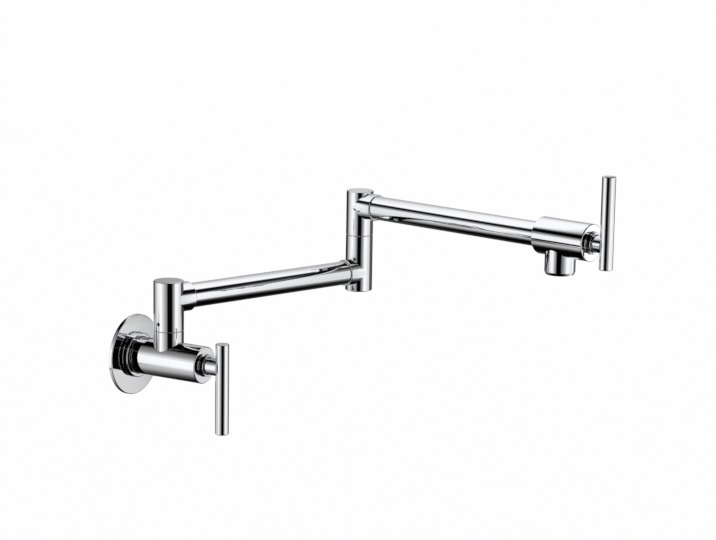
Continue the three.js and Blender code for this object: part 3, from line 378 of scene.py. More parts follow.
def turned(corners, sides=128, closed=False):
    """Turns an outline about +Z: up its outside, then down its bore."""
    bm = bmesh.new()
    turns = [math.tau * k / sides for k in range(sides)]
    rings = [level_ring(bm, radius, height, turns) for radius, height in rounded_outline(corners)]
    for low, high in zip(rings, rings[1:]):
        join_rings(bm, low, high)
    if closed:
        join_rings(bm, rings[-1], rings[0])
    return bm


def placed(origin, forward, across):
    """Where a piece made about +Z goes: +Z along forward and +X along across, in millimetres."""
    z_axis, x_axis = Vector(forward).normalized(), Vector(across).normalized()
    turn = Matrix((x_axis, z_axis.cross(x_axis), z_axis)).transposed().to_4x4()
    return Matrix.Scale(MM, 4) @ Matrix.Translation(Vector(origin)) @ turn


def mesh_object(name, bm):
    """An object in the scene from a mesh that is ready."""
    mesh = bpy.data.meshes.new(name)
    bm.to_mesh(mesh)
    bm.free()
    made = bpy.data.objects.new(name, mesh)
    scene.collection.objects.link(made)
    return made


def add_piece(name, bm, place, material, body, slot, *nodes):
    """A finished piece from a mesh in millimetres, riding on its body in place of CAD nodes."""
    bmesh.ops.remove_doubles(bm, verts=bm.verts, dist=MERGE_DISTANCE)
    bmesh.ops.transform(bm, matrix=place, verts=bm.verts)
    piece = mesh_object(name, bm)
    piece.data.polygons.foreach_set("use_smooth", [True] * len(piece.data.polygons))
    piece.data.set_sharp_from_angle(angle=SHARP_ANGLE)
    piece.data.materials.append(material)
    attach(piece, body)
    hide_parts(*nodes)


def evaluated(start, *helpers):
    """What an object's modifier makes of it. The object and its helpers are then removed."""
    depsgraph = bpy.context.evaluated_depsgraph_get()
    made = bpy.data.meshes.new_from_object(start.evaluated_get(depsgraph))
    result = bmesh.new()
    result.from_mesh(made)
    bpy.data.meshes.remove(made)
    for used in (start, *helpers):
        mesh = used.data
        bpy.data.objects.remove(used)
        bpy.data.meshes.remove(mesh)
    return result


def drilled(bm, radius, start, end):
    """The mesh with a round hole cut out of it."""
    bmesh.ops.remove_doubles(bm, verts=bm.verts, dist=MERGE_DISTANCE)
    start, end = Vector(start), Vector(end)
    turn = (end - start).to_track_quat("Z", "Y").to_matrix().to_4x4()
    cutter = bmesh.new()
    bmesh.ops.create_cone(
        cutter, cap_ends=True, segments=24, radius1=radius, radius2=radius,
        depth=(end - start).length, matrix=Matrix.Translation((start + end) / 2) @ turn,
    )
    blank, drill = mesh_object("blank", bm), mesh_object("drill", cutter)
    cut = blank.modifiers.new("hole", "BOOLEAN")
    cut.operation, cut.solver, cut.object = "DIFFERENCE", "EXACT", drill
    return evaluated(blank, drill)


def noise(tree, scale, detail, low, high):
    """Softly varying numbers between low and high over a piece."""
    place = node(tree, "ShaderNodeTexCoord").outputs["Object"]
    texture = node(tree, "ShaderNodeTexNoise", {"Vector": place, "Scale": scale, "Detail": detail})
    return node(tree, "ShaderNodeMapRange", {
        "Value": texture.outputs["Fac"], "From Min": NOISE_RANGE[0], "From Max": NOISE_RANGE[1],
        "To Min": low, "To Max": high,
    }).outputs["Result"]


def surface_finish(name, colour, metallic, shades, gloss, grain):
    """A finish whose colour drifts between shades (scale, pale, deep), whose roughness varies
    (scale, detail, low, high) and whose surface waves (scale, detail, depth in metres)."""
    material, tree, shader = new_material(name)
    shader.inputs["Base Color"].default_value = (*colour, 1)
    shader.inputs["Metallic"].default_value = metallic
    scale, pale, deep = shades
    drift = node(tree, "ShaderNodeMix", {
        "Factor": noise(tree, scale, 3, 0, 1), "A": (*pale, 1), "B": (*deep, 1),
    }, data_type="RGBA")
    tree.links.new(drift.outputs["Result"], shader.inputs["Base Color"])
    tree.links.new(noise(tree, *gloss), shader.inputs["Roughness"])
    scale, detail, depth = grain
    wave = node(tree, "ShaderNodeBump", {
        "Height": noise(tree, scale, detail, 0, 1), "Strength": 1, "Distance": depth,
    })
    tree.links.new(wave.outputs["Normal"], shader.inputs["Normal"])
    return material


# Bright plate over polished brass, with a trace of haze and of the buffing's waviness.
CHROME = surface_finish(
    "polished_chrome_plate", (0.94, 0.945, 0.97), 1,
    shades=(35, (0.945, 0.95, 0.975), (0.915, 0.922, 0.95)),
    gloss=(60, 3, 0.025, 0.05), grain=(140, 2, 0.000004),
)
WALL_FRAME = placed((0, 0, 0), (0, -1, 0), (1, 0, 0))

gasket_inner, gasket_outer, gasket_depth = GASKET_SEAT
flange = turned([
    (FLANGE_BORE_RADIUS, 0, 0),
    (gasket_inner, 0, 0),
    (gasket_inner, gasket_depth, 0),
    (gasket_outer, gasket_depth, 0),
    (gasket_outer, 0, 0),
    (FLANGE_RADIUS, 0, FLANGE_EDGE),
    (FLANGE_RADIUS, FLANGE_THICKNESS, 0.7),
    (FLANGE_HUB_RADIUS, FLANGE_THICKNESS, 0.3),
    (FLANGE_HUB_RADIUS, FLANGE_HUB_HEIGHT, 0.9),
    (FLANGE_BORE_RADIUS, FLANGE_HUB_HEIGHT, FLANGE_EDGE),
], closed=True)
flange = drilled(
    flange, GRUB_HOLE, (0, CUT_MARGIN - FLANGE_BORE_RADIUS, FLANGE_SCREW_HEIGHT),
    (0, -FLANGE_HUB_RADIUS - CUT_MARGIN, FLANGE_SCREW_HEIGHT),
)
add_piece("stepped_wall_flange", flange, WALL_FRAME, CHROME, "wall_body", "chrome", "wall_flange")

# ----------------------------------------
# Seals: O-rings, washers and the flange's gasket, moulded in black rubber. They keep the
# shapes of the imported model.


def dress_nodes(slot_name, material):
    """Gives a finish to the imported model's own parts of one material slot."""
    for part in frame["record"]["subparts"]:
        if part["material_slot"] == slot_name:
            frame["nodes"][part["node"]].material_slots[0].material = material


# Matte black with a fine moulded grain and a paler bloom in places.
dress_nodes("seal_rubber", surface_finish(
    "moulded_black_rubber", (0.012, 0.012, 0.013), 0,
    shades=(90, (0.010, 0.010, 0.011), (0.022, 0.022, 0.023)),
    gloss=(300, 4, 0.62, 0.8), grain=(2500, 3, 0.00003),
))

# ----------------------------------------
# Supply nipple: a half-inch brass nipple, threaded where it screws into the fitting in the
# wall. The thread is a ridge wound round the tube by geometry nodes.

NIPPLE_BORE_RADIUS = 7.0
NIPPLE_ROOT_RADIUS = 9.5
NIPPLE_BACK = -14.0
NIPPLE_FRONT = 14.0
THREAD_CREST_RADIUS = 10.35
THREAD_PITCH = 1.814
THREAD_TURNS = 6
RIDGE_SHARE = 0.42

# Bare brass, fresh from the lathe, with fine turning marks.
BRASS = surface_finish(
    "turned_brass", (0.66, 0.47, 0.2), 1,
    shades=(60, (0.70, 0.51, 0.23), (0.60, 0.42, 0.17)),
    gloss=(400, 3, 0.22, 0.36), grain=(1800, 2, 0.00001),
)
dress_nodes("brass", BRASS)


def node_tree(name, sizes):
    """A geometry node tree with a mesh and named sizes going in and a mesh coming out."""
    tree = bpy.data.node_groups.new(name, "GeometryNodeTree")
    tree.is_modifier = True
    tree.interface.new_socket("Geometry", in_out="INPUT", socket_type="NodeSocketGeometry")
    for size_name, value in sizes.items():
        kind = "NodeSocketInt" if isinstance(value, int) else "NodeSocketFloat"
        tree.interface.new_socket(size_name, in_out="INPUT", socket_type=kind).default_value = value
    tree.interface.new_socket("Material", in_out="INPUT", socket_type="NodeSocketMaterial")
    tree.interface.new_socket("Geometry", in_out="OUTPUT", socket_type="NodeSocketGeometry")
    return tree, tree.nodes.new("NodeGroupInput")


def finish_tree(tree, inlet, *shapes):
    """Joins the shapes, as real geometry with the material on it, which the export needs."""
    joined = node(tree, "GeometryNodeJoinGeometry")
    for shape in shapes:
        tree.links.new(shape.outputs[0], joined.inputs[0])
    real = node(tree, "GeometryNodeRealizeInstances", {"Geometry": joined})
    painted = node(tree, "GeometryNodeSetMaterial", {
        "Geometry": real, "Material": inlet.outputs["Material"],
    })
    node(tree, "NodeGroupOutput", {"Geometry": painted})
    return tree


def grown(bm, tree, material, attributes=None):
    """The mesh that a node tree makes out of a first one, whose points carry the attributes."""
    start = mesh_object("start", bm)
    for key, values in (attributes or {}).items():
        is_way = isinstance(values[0], Vector)
        attribute = start.data.attributes.new(key, "FLOAT_VECTOR" if is_way else "FLOAT", "POINT")
        for item, value in zip(attribute.data, values):
            setattr(item, "vector" if is_way else "value", value)
    modifier = start.modifiers.new("grow", "NODES")
    modifier.node_group = tree
    for item in tree.interface.items_tree:
        if item.in_out == "INPUT" and item.name != "Geometry":
            modifier[item.identifier] = material if item.name == "Material" else item.default_value
    return evaluated(start)


def pipe_thread():
    """Winds a six-sided ridge round the tube from Low upwards."""
    tree, inlet = node_tree("pipe_thread", {
        "Low": NIPPLE_BACK, "Crest Radius": THREAD_CREST_RADIUS, "Pitch": THREAD_PITCH,
        "Turns": THREAD_TURNS,
    })
    pitch, turns = inlet.outputs["Pitch"], inlet.outputs["Turns"]
    ridge = reckon(tree, "MULTIPLY", pitch, RIDGE_SHARE)
    middle = reckon(tree, "SUBTRACT", inlet.outputs["Crest Radius"], ridge)
    path = node(tree, "GeometryNodeCurveSpiral", {
        "Resolution": 40, "Rotations": turns, "Start Radius": middle, "End Radius": middle,
        "Height": reckon(tree, "MULTIPLY", pitch, turns),
    })
    profile = node(tree, "GeometryNodeCurvePrimitiveCircle", {"Resolution": 6, "Radius": ridge})
    wound = node(tree, "GeometryNodeCurveToMesh", {
        "Curve": path, "Profile Curve": profile, "Fill Caps": True,
    })
    first = reckon(tree, "ADD", inlet.outputs["Low"], ridge)
    lifted = node(tree, "GeometryNodeTransform", {
        "Geometry": wound, "Translation": node(tree, "ShaderNodeCombineXYZ", {"Z": first}),
    })
    return finish_tree(tree, inlet, inlet, lifted)


nipple_tube = turned([
    (NIPPLE_BORE_RADIUS, NIPPLE_BACK, 0.3),
    (NIPPLE_ROOT_RADIUS, NIPPLE_BACK, 0.4),
    (NIPPLE_ROOT_RADIUS, NIPPLE_FRONT, 0.4),
    (NIPPLE_BORE_RADIUS, NIPPLE_FRONT, 0.3),
], sides=64, closed=True)
add_piece(
    "threaded_supply_nipple", grown(nipple_tube, pipe_thread(), BRASS), WALL_FRAME, BRASS,
    "wall_body", "brass", "inlet_nipple",
)

# ----------------------------------------
# Inlet valve body: a chromed brass forging. Its barrel runs out of the wall and holds the
# cartridge, and its upright post carries the base swivel.

INLET_BODY_RADIUS = 16.6
INLET_BODY_REAR = 4.0
INLET_BODY_FRONT = 78.2
RISER_DISTANCE = 39.2
BASE_POST_RADIUS = 13.5
BASE_JOINT_HEIGHT = 27.15
JOINT_GAP = 0.5
JOINT_EDGE = 0.1
WATERWAY_RADIUS = 6.5
CARTRIDGE_DEPTH = 46.0
CARTRIDGE_BORE_RADIUS = 8.8
THREAD_BORE = (10.0, 12.1)
NIPPLE_BORE = (10.6, 12.0)
SPIGOT_THREAD_BORE = (8.7, 9.7)
BASE_WASHER_SEAT = (12.1, 0.8)
BODY_RIM = 0.8
MOUTH_EDGE = 0.2
BODY_REACH = 15.5
INLET_BORE_REACH = 6.7
BODY_SPREAD = math.radians(66)

PATCH_STEPS = 40
ROUND_STEPS = 56
PATCH_RINGS = 10


def tee(bm, run_radius, arm_radius, reach, spread, left, right, arm, inside=False):
    """A tube along +X with a second one that leaves it along +Z, meeting in a clean edge.
    reach and spread are half the length and half the angle of the patch round the meeting.
    left, right and arm are outlines that lead on from it: (distance out, radius, rounding)."""
    grades = [math.tan(math.pi / 4 * (2 * i / PATCH_STEPS - 1)) for i in range(PATCH_STEPS + 1)]
    along = [reach * grade for grade in grades]
    around = [spread * grade for grade in grades]
    around += [spread + (math.tau - 2 * spread) * k / ROUND_STEPS for k in range(1, ROUND_STEPS)]

    def at(x, angle, radius=run_radius):
        return bm.verts.new((x, radius * math.sin(angle), radius * math.cos(angle)))

    rows = [
        [at(x, angle) if i in (0, PATCH_STEPS) or not 0 < j < PATCH_STEPS else None
         for j, angle in enumerate(around)]
        for i, x in enumerate(along)
    ]
    for low, high in zip(rows, rows[1:]):
        for j in range(PATCH_STEPS, len(around)):
            after = (j + 1) % len(around)
            corners = [low[j], high[j], high[after], low[after]]
            bm.faces.new(corners[::-1] if inside else corners)

    border = [(PATCH_STEPS, j) for j in range(PATCH_STEPS)]
    border += [(i, PATCH_STEPS) for i in range(PATCH_STEPS, 0, -1)]
    border += [(0, j) for j in range(PATCH_STEPS, 0, -1)]
    border += [(i, 0) for i in range(PATCH_STEPS)]
    turns = [math.radians(-45 + 90 * k / PATCH_STEPS) for k in range(4 * PATCH_STEPS)]
    patch = []
    for k in range(PATCH_RINGS):
        ring, part = [], k / PATCH_RINGS
        for turn, (i, j) in zip(turns, border):
            x, angle = arm_radius * math.cos(turn), math.asin(arm_radius * math.sin(turn) / run_radius)
            ring.append(at(x + (along[i] - x) * part, angle + (around[j] - angle) * part))
        patch.append(ring)
    patch.append([rows[i][j] for i, j in border])
    for low, high in zip(patch, patch[1:]):
        join_rings(bm, low, high, not inside)

    def run_ring(x, radius):
        return [at(x, angle, radius) for angle in around] if radius > TINY else [at(x, 0, 0)]

    def arm_ring(z, radius):
        return level_ring(bm, radius, z, turns)

    for last, outline, ring_of, flip in (
        (rows[-1], [(reach, run_radius, 0)] + right, run_ring, not inside),
        (rows[0], [(-reach, run_radius, 0)] + left, run_ring, inside),
        (patch[0], [(run_radius, arm_radius, 0)] + arm, arm_ring, inside),
    ):
        for distance, radius in rounded_outline(outline)[1:]:
            following = ring_of(distance, radius)
            join_rings(bm, last, following, flip)
            last = following


def ledge(place, radius, next_radius):
    """A square ledge in an outline, from one radius to the next."""
    return [(place, radius, 0), (place, next_radius, 0)]


def open_end(face, outer, rim, bore, depth, narrow, way=1):
    """An open end that faces along way: the outline outside and round the rim, and the one
    inside, from where the bore is narrow."""
    mouth = (face - way, bore, 0)
    outside = [(face, outer, rim), (face, bore, MOUTH_EDGE), mouth]
    return outside, ledge(face - way * depth, narrow, bore) + [mouth]


def washer_end(face, outer, seat, bore):
    """The outline of a post's upper end, with a seat for the thrust washer round its bore."""
    seat_radius, seat_depth = seat
    return [
        (face, outer, JOINT_EDGE),
        (face, seat_radius, 0),
        *ledge(face - seat_depth, seat_radius, bore),
    ]


inlet_rear = INLET_BODY_REAR - RISER_DISTANCE
inlet_front = INLET_BODY_FRONT - RISER_DISTANCE
nipple_radius, nipple_depth = NIPPLE_BORE
spigot_radius, spigot_depth = SPIGOT_THREAD_BORE
post_top = BASE_JOINT_HEIGHT - JOINT_GAP / 2
inlet_mouth, inlet_thread = open_end(
    inlet_front, INLET_BODY_RADIUS, BODY_RIM, *THREAD_BORE, CARTRIDGE_BORE_RADIUS,
)
inlet_body = bmesh.new()
tee(
    inlet_body, INLET_BODY_RADIUS, BASE_POST_RADIUS, BODY_REACH, BODY_SPREAD,
    left=[(inlet_rear, INLET_BODY_RADIUS, BODY_RIM), (inlet_rear, nipple_radius, 0)],
    right=inlet_mouth,
    arm=washer_end(post_top, BASE_POST_RADIUS, BASE_WASHER_SEAT, spigot_radius),
)
tee(
    inlet_body, CARTRIDGE_BORE_RADIUS, WATERWAY_RADIUS, INLET_BORE_REACH, BODY_SPREAD,
    left=[
        *ledge(inlet_front - CARTRIDGE_DEPTH, CARTRIDGE_BORE_RADIUS, WATERWAY_RADIUS),
        *ledge(inlet_rear + nipple_depth, WATERWAY_RADIUS, nipple_radius),
        (inlet_rear, nipple_radius, 0),
    ],
    right=inlet_thread,
    arm=[
        *ledge(BASE_JOINT_HEIGHT - spigot_depth, WATERWAY_RADIUS, spigot_radius),
        (post_top - BASE_WASHER_SEAT[1], spigot_radius, 0),
    ],
    inside=True,
)
UP = Vector((0, 0, 1))
RISER = Vector((0, -RISER_DISTANCE, 0))
add_piece(
    "inlet_valve_barrel", inlet_body, placed(RISER, UP, (0, -1, 0)), CHROME,
    "wall_body", "chrome", "inlet_valve_body",
)

# ----------------------------------------
# Cartridges: two lapped ceramic discs in a brass housing inside each valve, turned by a brass
# spindle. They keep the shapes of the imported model.

# Dense white alumina, ground flat and faintly glossy.
dress_nodes("ceramic", surface_finish(
    "lapped_ceramic", (0.86, 0.85, 0.8), 0,
    shades=(220, (0.88, 0.87, 0.83), (0.8, 0.79, 0.74)),
    gloss=(900, 3, 0.16, 0.26), grain=(3000, 2, 0.000004),
))

# ----------------------------------------
# Bonnet collars: turned rings that screw into the mouth of each valve body over its cartridge.
# Chromed brass, with a small foot against the end face.

COLLAR_RADIUS = 9.7
COLLAR_FOOT_RADIUS = 10.5
COLLAR_FOOT = (0.15, 1.1)
COLLAR_HEIGHT = 4.5
COLLAR_BORE_RADIUS = 8.15
COLLAR_ENGAGEMENT = 4.0
COLLAR_THREAD_RADIUS = 9.8
COLLAR_OUTLINE = [
    (COLLAR_BORE_RADIUS, -COLLAR_ENGAGEMENT, 0),
    (COLLAR_THREAD_RADIUS, -COLLAR_ENGAGEMENT, 0),
    (COLLAR_THREAD_RADIUS, COLLAR_FOOT[0], 0),
    (COLLAR_FOOT_RADIUS, COLLAR_FOOT[0], 0.2),
    (COLLAR_RADIUS, COLLAR_FOOT[1], 0.3),
    (COLLAR_RADIUS, COLLAR_HEIGHT, 0.4),
    (COLLAR_BORE_RADIUS, COLLAR_HEIGHT, 0.2),
]

BASE_TURN = 71.2
ELBOW_TURN = 82
LOWER_ARM_ANGLE = math.radians(BASE_TURN - 90)
UPPER_ARM_ANGLE = math.radians(BASE_TURN - 90 - ELBOW_TURN)
LOWER_ARM_LENGTH = 220.9
UPPER_ARM_HEIGHT = 118.3
OUTLET_END = 269.65


def level_way(angle):
    return Vector((math.cos(angle), math.sin(angle), 0))


LOWER_ARM = level_way(LOWER_ARM_ANGLE)
UPPER_ARM = level_way(UPPER_ARM_ANGLE)
ELBOW_AXIS = RISER + LOWER_ARM * LOWER_ARM_LENGTH
upper_axis = ELBOW_AXIS + UP * UPPER_ARM_HEIGHT
inlet_end, inlet_way = Vector((0, -INLET_BODY_FRONT, 0)), Vector((0, -1, 0))
outlet_end = upper_axis + UPPER_ARM * OUTLET_END
VALVE_ENDS = {
    "inlet": placed(inlet_end, inlet_way, UP), "outlet": placed(outlet_end, UPPER_ARM, UP),
}

for valve, body in (("inlet", "wall_body"), ("outlet", "upper_arm")):
    add_piece(
        f"{valve}_collar_ring", turned(COLLAR_OUTLINE, closed=True), VALVE_ENDS[valve], CHROME,
        body, "chrome", f"{valve}_bonnet_collar",
    )

# ----------------------------------------
# T handles: a chromed bar set across a round hub that grips the spindle's spline.
# The hub's end is milled to a saddle for the bar, and a stud holds the two together.

HUB_RADIUS = 7.8
HUB_INSET = 3.5
HUB_EDGE = 0.2
HUB_LEVELS = (2.0, 6.0)
HUB_SHORT = 2.2
HUB_SOCKET = 4.1
SOCKET_FLOOR = 1.5
SADDLE_GAP = 0.04
SADDLE_STEPS = 12
BAR_RADIUS = 6.05
BAR_LONG_END = 60.0
BAR_SHORT_END = 21.7
BAR_RIM = 0.8
INLET_BAR_OFFSET = 18.7
OUTLET_BAR_OFFSET = 15.3
GRUB_OFFSET = 5.9
GRUB_HOLE_START = 2


def handle_hub(bar_offset):
    """A round post with a saddle at its far end for a bar along X, and a socket at its near end."""
    bm = bmesh.new()
    steps = SADDLE_STEPS
    saddle = BAR_RADIUS + SADDLE_GAP
    saddle_half = math.sqrt(saddle ** 2 - HUB_SHORT ** 2)
    saddle_turn = math.asin(saddle_half / HUB_RADIUS)
    quarter = [saddle_turn * k / steps for k in range(steps)]
    quarter += [saddle_turn + (math.pi / 2 - saddle_turn) * k / steps for k in range(steps)]
    half = quarter + [math.pi / 2] + [math.pi - turn for turn in reversed(quarter)]
    turns = half + [math.tau - turn for turn in reversed(half[1:-1])]

    def top(across):
        if abs(across) < saddle_half - TINY:
            return bar_offset - math.sqrt(saddle ** 2 - across ** 2)
        return bar_offset - HUB_SHORT

    socket_end = bar_offset - BAR_RADIUS - SOCKET_FLOOR
    stack = [level_ring(bm, radius, height, turns) for radius, height in (
        (0, socket_end), (HUB_SOCKET, socket_end), (HUB_SOCKET, -HUB_INSET),
        (HUB_RADIUS - HUB_EDGE, -HUB_INSET), (HUB_RADIUS, HUB_EDGE - HUB_INSET),
        *((HUB_RADIUS, level) for level in HUB_LEVELS),
    )]
    rim = level_ring(bm, HUB_RADIUS, 0, turns)
    for point, turn in zip(rim, turns):
        point.co.z = top(HUB_RADIUS * math.sin(turn))
    stack.append(rim)
    for low, high in zip(stack, stack[1:]):
        join_rings(bm, low, high)
    rows = [(rim[-k], rim[4 * steps + k]) for k in range(2 * steps, 0, -1)]
    rows += [(rim[k], rim[4 * steps - k]) for k in range(2 * steps + 1)]
    for (right, left), (next_right, next_left) in zip(rows, rows[1:]):
        bm.faces.new(list(dict.fromkeys([right, next_right, next_left, left])))
    return bm


for valve, bar_offset, lying in (
    ("inlet", INLET_BAR_OFFSET, 1), ("outlet", OUTLET_BAR_OFFSET, -1),
):
    body, place = f"{valve}_handle", VALVE_ENDS[valve]
    hub = drilled(
        handle_hub(bar_offset), GRUB_HOLE, (-GRUB_HOLE_START, 0, GRUB_OFFSET),
        (-HUB_RADIUS - CUT_MARGIN, 0, GRUB_OFFSET),
    )
    add_piece(f"{valve}_handle_post", hub, place, CHROME, body, "chrome", f"{valve}_handle_hub")
    bar = turned([
        (0, -BAR_LONG_END, 0),
        (BAR_RADIUS, -BAR_LONG_END, BAR_RIM),
        (BAR_RADIUS, BAR_SHORT_END, BAR_RIM),
        (0, BAR_SHORT_END, 0),
    ], sides=96)
    along_bar = Matrix.Translation((0, 0, bar_offset)) @ Matrix.Rotation(lying * math.pi / 2, 4, "Y")
    add_piece(
        f"{valve}_handle_crossbar", bar, place @ along_bar, CHROME,
        body, "chrome", f"{valve}_handle_bar",
    )

# ----------------------------------------
# Base swivel head: a chromed brass post that turns on the hidden spigot, with a stub that
# the lower arm is let into.

BASE_HEAD_HEIGHT = 44.7
LOWER_ARM_RISE = 28.2
ARM_LEVEL = BASE_JOINT_HEIGHT + LOWER_ARM_RISE
BASE_STUB = (13.2, 21.6, 9.5)
BASE_HEAD_REACH = 14.6
SWIVEL_BORE_RADIUS = 9.45
SWIVEL_BORE_END = 10.0
SWIVEL_BORE_REACH = 9.3
ARM_WATERWAY_RADIUS = 8.5
SOCKET_RADIUS = 11.15
POST_RIM = 0.9
STUB_RIM = 0.8
POST_SPREAD = math.radians(86)
SWIVEL_SCREW_HOLE = 1.75
BASE_SCREW_ANGLE = math.radians(-168)
BASE_SCREW_HEIGHT = 6.8


def stub_end(radius, face, depth):
    """The open end of a stub of this radius, with a socket of this depth for an arm."""
    return open_end(face, radius, STUB_RIM, SOCKET_RADIUS, depth, ARM_WATERWAY_RADIUS)


def screw_bore(angle, rise, post_radius):
    """A level hole through a post's wall, at an angle from its stub and a rise from its arm."""
    way = Vector((0, -math.sin(angle), math.cos(angle)))
    level = Vector((rise, 0, 0))
    inner, outer = SWIVEL_BORE_RADIUS - CUT_MARGIN, post_radius + CUT_MARGIN
    return SWIVEL_SCREW_HOLE, level + way * inner, level + way * outer


head_stub, head_socket = stub_end(*BASE_STUB)
head_foot = JOINT_GAP / 2 - LOWER_ARM_RISE
head_top = BASE_HEAD_HEIGHT - LOWER_ARM_RISE
head = bmesh.new()
tee(
    head, BASE_POST_RADIUS, BASE_STUB[0], BASE_HEAD_REACH, POST_SPREAD,
    left=[(head_foot, BASE_POST_RADIUS, JOINT_EDGE), (head_foot, SWIVEL_BORE_RADIUS, 0)],
    right=[(head_top, BASE_POST_RADIUS, POST_RIM), (head_top, 0, 0)],
    arm=head_stub,
)
tee(
    head, SWIVEL_BORE_RADIUS, ARM_WATERWAY_RADIUS, SWIVEL_BORE_REACH, POST_SPREAD,
    left=[(head_foot, SWIVEL_BORE_RADIUS, 0)],
    right=ledge(SWIVEL_BORE_END, SWIVEL_BORE_RADIUS, 0),
    arm=head_socket,
    inside=True,
)
head_screw = screw_bore(BASE_SCREW_ANGLE, BASE_SCREW_HEIGHT - LOWER_ARM_RISE, BASE_POST_RADIUS)
base_axis = RISER + UP * ARM_LEVEL
add_piece(
    "base_swivel_post", drilled(head, *head_screw), placed(base_axis, LOWER_ARM, UP), CHROME,
    "lower_arm", "chrome", "base_swivel_head",
)

# ----------------------------------------
# Arm tubes: drawn brass tube, 22 mm across, polished along its length and chromed.
# Each is let into a stub at one end and into the next post or valve at the other.

TUBE_RADIUS = 11.0
TUBE_WALL = 1.4
TUBE_EDGE = 0.2
TUBE_END_GAP = 0.2
ELBOW_STUB_RADIUS = 12.5
ELBOW_LOWER_STUB = (ELBOW_STUB_RADIUS, 18.5, 7.0)
ELBOW_UPPER_STUB = (ELBOW_STUB_RADIUS, 21.8, 9.5)
OUTLET_REAR = 215.15
OUTLET_SOCKET = 6.0

for body, axis, way, start, end in (
    ("lower_arm", base_axis, LOWER_ARM, BASE_STUB[1] - BASE_STUB[2],
     LOWER_ARM_LENGTH - ELBOW_LOWER_STUB[1] + ELBOW_LOWER_STUB[2]),
    ("upper_arm", upper_axis, UPPER_ARM, ELBOW_UPPER_STUB[1] - ELBOW_UPPER_STUB[2],
     OUTLET_REAR + OUTLET_SOCKET),
):
    start, end = start + TUBE_END_GAP, end - TUBE_END_GAP
    tube = turned([
        (TUBE_RADIUS - TUBE_WALL, 0, 0),
        (TUBE_RADIUS, 0, TUBE_EDGE),
        (TUBE_RADIUS, end - start, TUBE_EDGE),
        (TUBE_RADIUS - TUBE_WALL, end - start, 0),
    ], closed=True)
    add_piece(
        f"{body}_round_tube", tube, placed(axis + way * start, way, UP), CHROME,
        body, "chrome", f"{body}_tube",
    )

# ----------------------------------------
# Elbow posts: two chromed brass posts, one above the other. The upper one's hidden spigot
# turns in the lower one.

ELBOW_POST_RADIUS = 12.65
ELBOW_POST_REACH = 13.2
ELBOW_POST_BELOW_ARM = 18.2
ELBOW_JOINT_RISE = 35.2
UPPER_ARM_RISE = 27.75
ELBOW_POST_ABOVE_ARM = 14.35
ELBOW_WASHER_SEAT = (11.25, 0.8)
ELBOW_SCREW_ANGLE = math.radians(31)
ELBOW_SCREW_DEPTH = 22.0
UPPER_BORE_REACH = 9.2
UPPER_WATERWAY_RADIUS = ARM_WATERWAY_RADIUS - 0.1

lower_stub, lower_socket = stub_end(*ELBOW_LOWER_STUB)
lower_top = ELBOW_JOINT_RISE - JOINT_GAP / 2
lower_post = bmesh.new()
tee(
    lower_post, ELBOW_POST_RADIUS, ELBOW_STUB_RADIUS, ELBOW_POST_REACH, POST_SPREAD,
    left=[(-ELBOW_POST_BELOW_ARM, ELBOW_POST_RADIUS, POST_RIM), (-ELBOW_POST_BELOW_ARM, 0, 0)],
    right=washer_end(lower_top, ELBOW_POST_RADIUS, ELBOW_WASHER_SEAT, SWIVEL_BORE_RADIUS),
    arm=lower_stub,
)
tee(
    lower_post, SWIVEL_BORE_RADIUS, ARM_WATERWAY_RADIUS, SWIVEL_BORE_REACH, POST_SPREAD,
    left=ledge(-SWIVEL_BORE_END, SWIVEL_BORE_RADIUS, 0),
    right=[(lower_top - ELBOW_WASHER_SEAT[1], SWIVEL_BORE_RADIUS, 0)],
    arm=lower_socket,
    inside=True,
)
lower_screw = screw_bore(ELBOW_SCREW_ANGLE, ELBOW_JOINT_RISE - ELBOW_SCREW_DEPTH, ELBOW_POST_RADIUS)
add_piece(
    "elbow_lower_swivel_post", drilled(lower_post, *lower_screw),
    placed(ELBOW_AXIS + UP * ARM_LEVEL, -LOWER_ARM, UP), CHROME,
    "lower_arm", "chrome", "elbow_lower_post",
)

upper_stub, upper_socket = stub_end(*ELBOW_UPPER_STUB)
upper_foot = JOINT_GAP / 2 - UPPER_ARM_RISE
upper_post = bmesh.new()
tee(
    upper_post, ELBOW_POST_RADIUS, ELBOW_STUB_RADIUS, ELBOW_POST_REACH, POST_SPREAD,
    left=[(upper_foot, ELBOW_POST_RADIUS, JOINT_EDGE), (upper_foot, spigot_radius, 0)],
    right=[(ELBOW_POST_ABOVE_ARM, ELBOW_POST_RADIUS, POST_RIM), (ELBOW_POST_ABOVE_ARM, 0, 0)],
    arm=upper_stub,
)
tee(
    upper_post, spigot_radius, UPPER_WATERWAY_RADIUS, UPPER_BORE_REACH, POST_SPREAD,
    left=[(upper_foot, spigot_radius, 0)],
    right=ledge(SWIVEL_BORE_END, spigot_radius, 0),
    arm=upper_socket,
    inside=True,
)
add_piece(
    "elbow_upper_swivel_post", upper_post, placed(upper_axis, UPPER_ARM, UP), CHROME,
    "upper_arm", "chrome", "elbow_upper_post",
)

# ----------------------------------------
# Outlet valve body: the same kind of forging as the inlet's, with a short round spout that
# points straight down.

OUTLET_BODY_RADIUS = 16.5
SPOUT_DISTANCE = 235.9
SPOUT_RADIUS = 13.6
SPOUT_DROP = 32.1
SPOUT_RIM = (1.2, 2.6)
SPOUT_WATERWAY = 8.2
SPOUT_WATERWAY_REACH = 8.5
AERATOR_SEAT = (12.2, 1.4)
AERATOR_BORE = (11.6, 12.4)

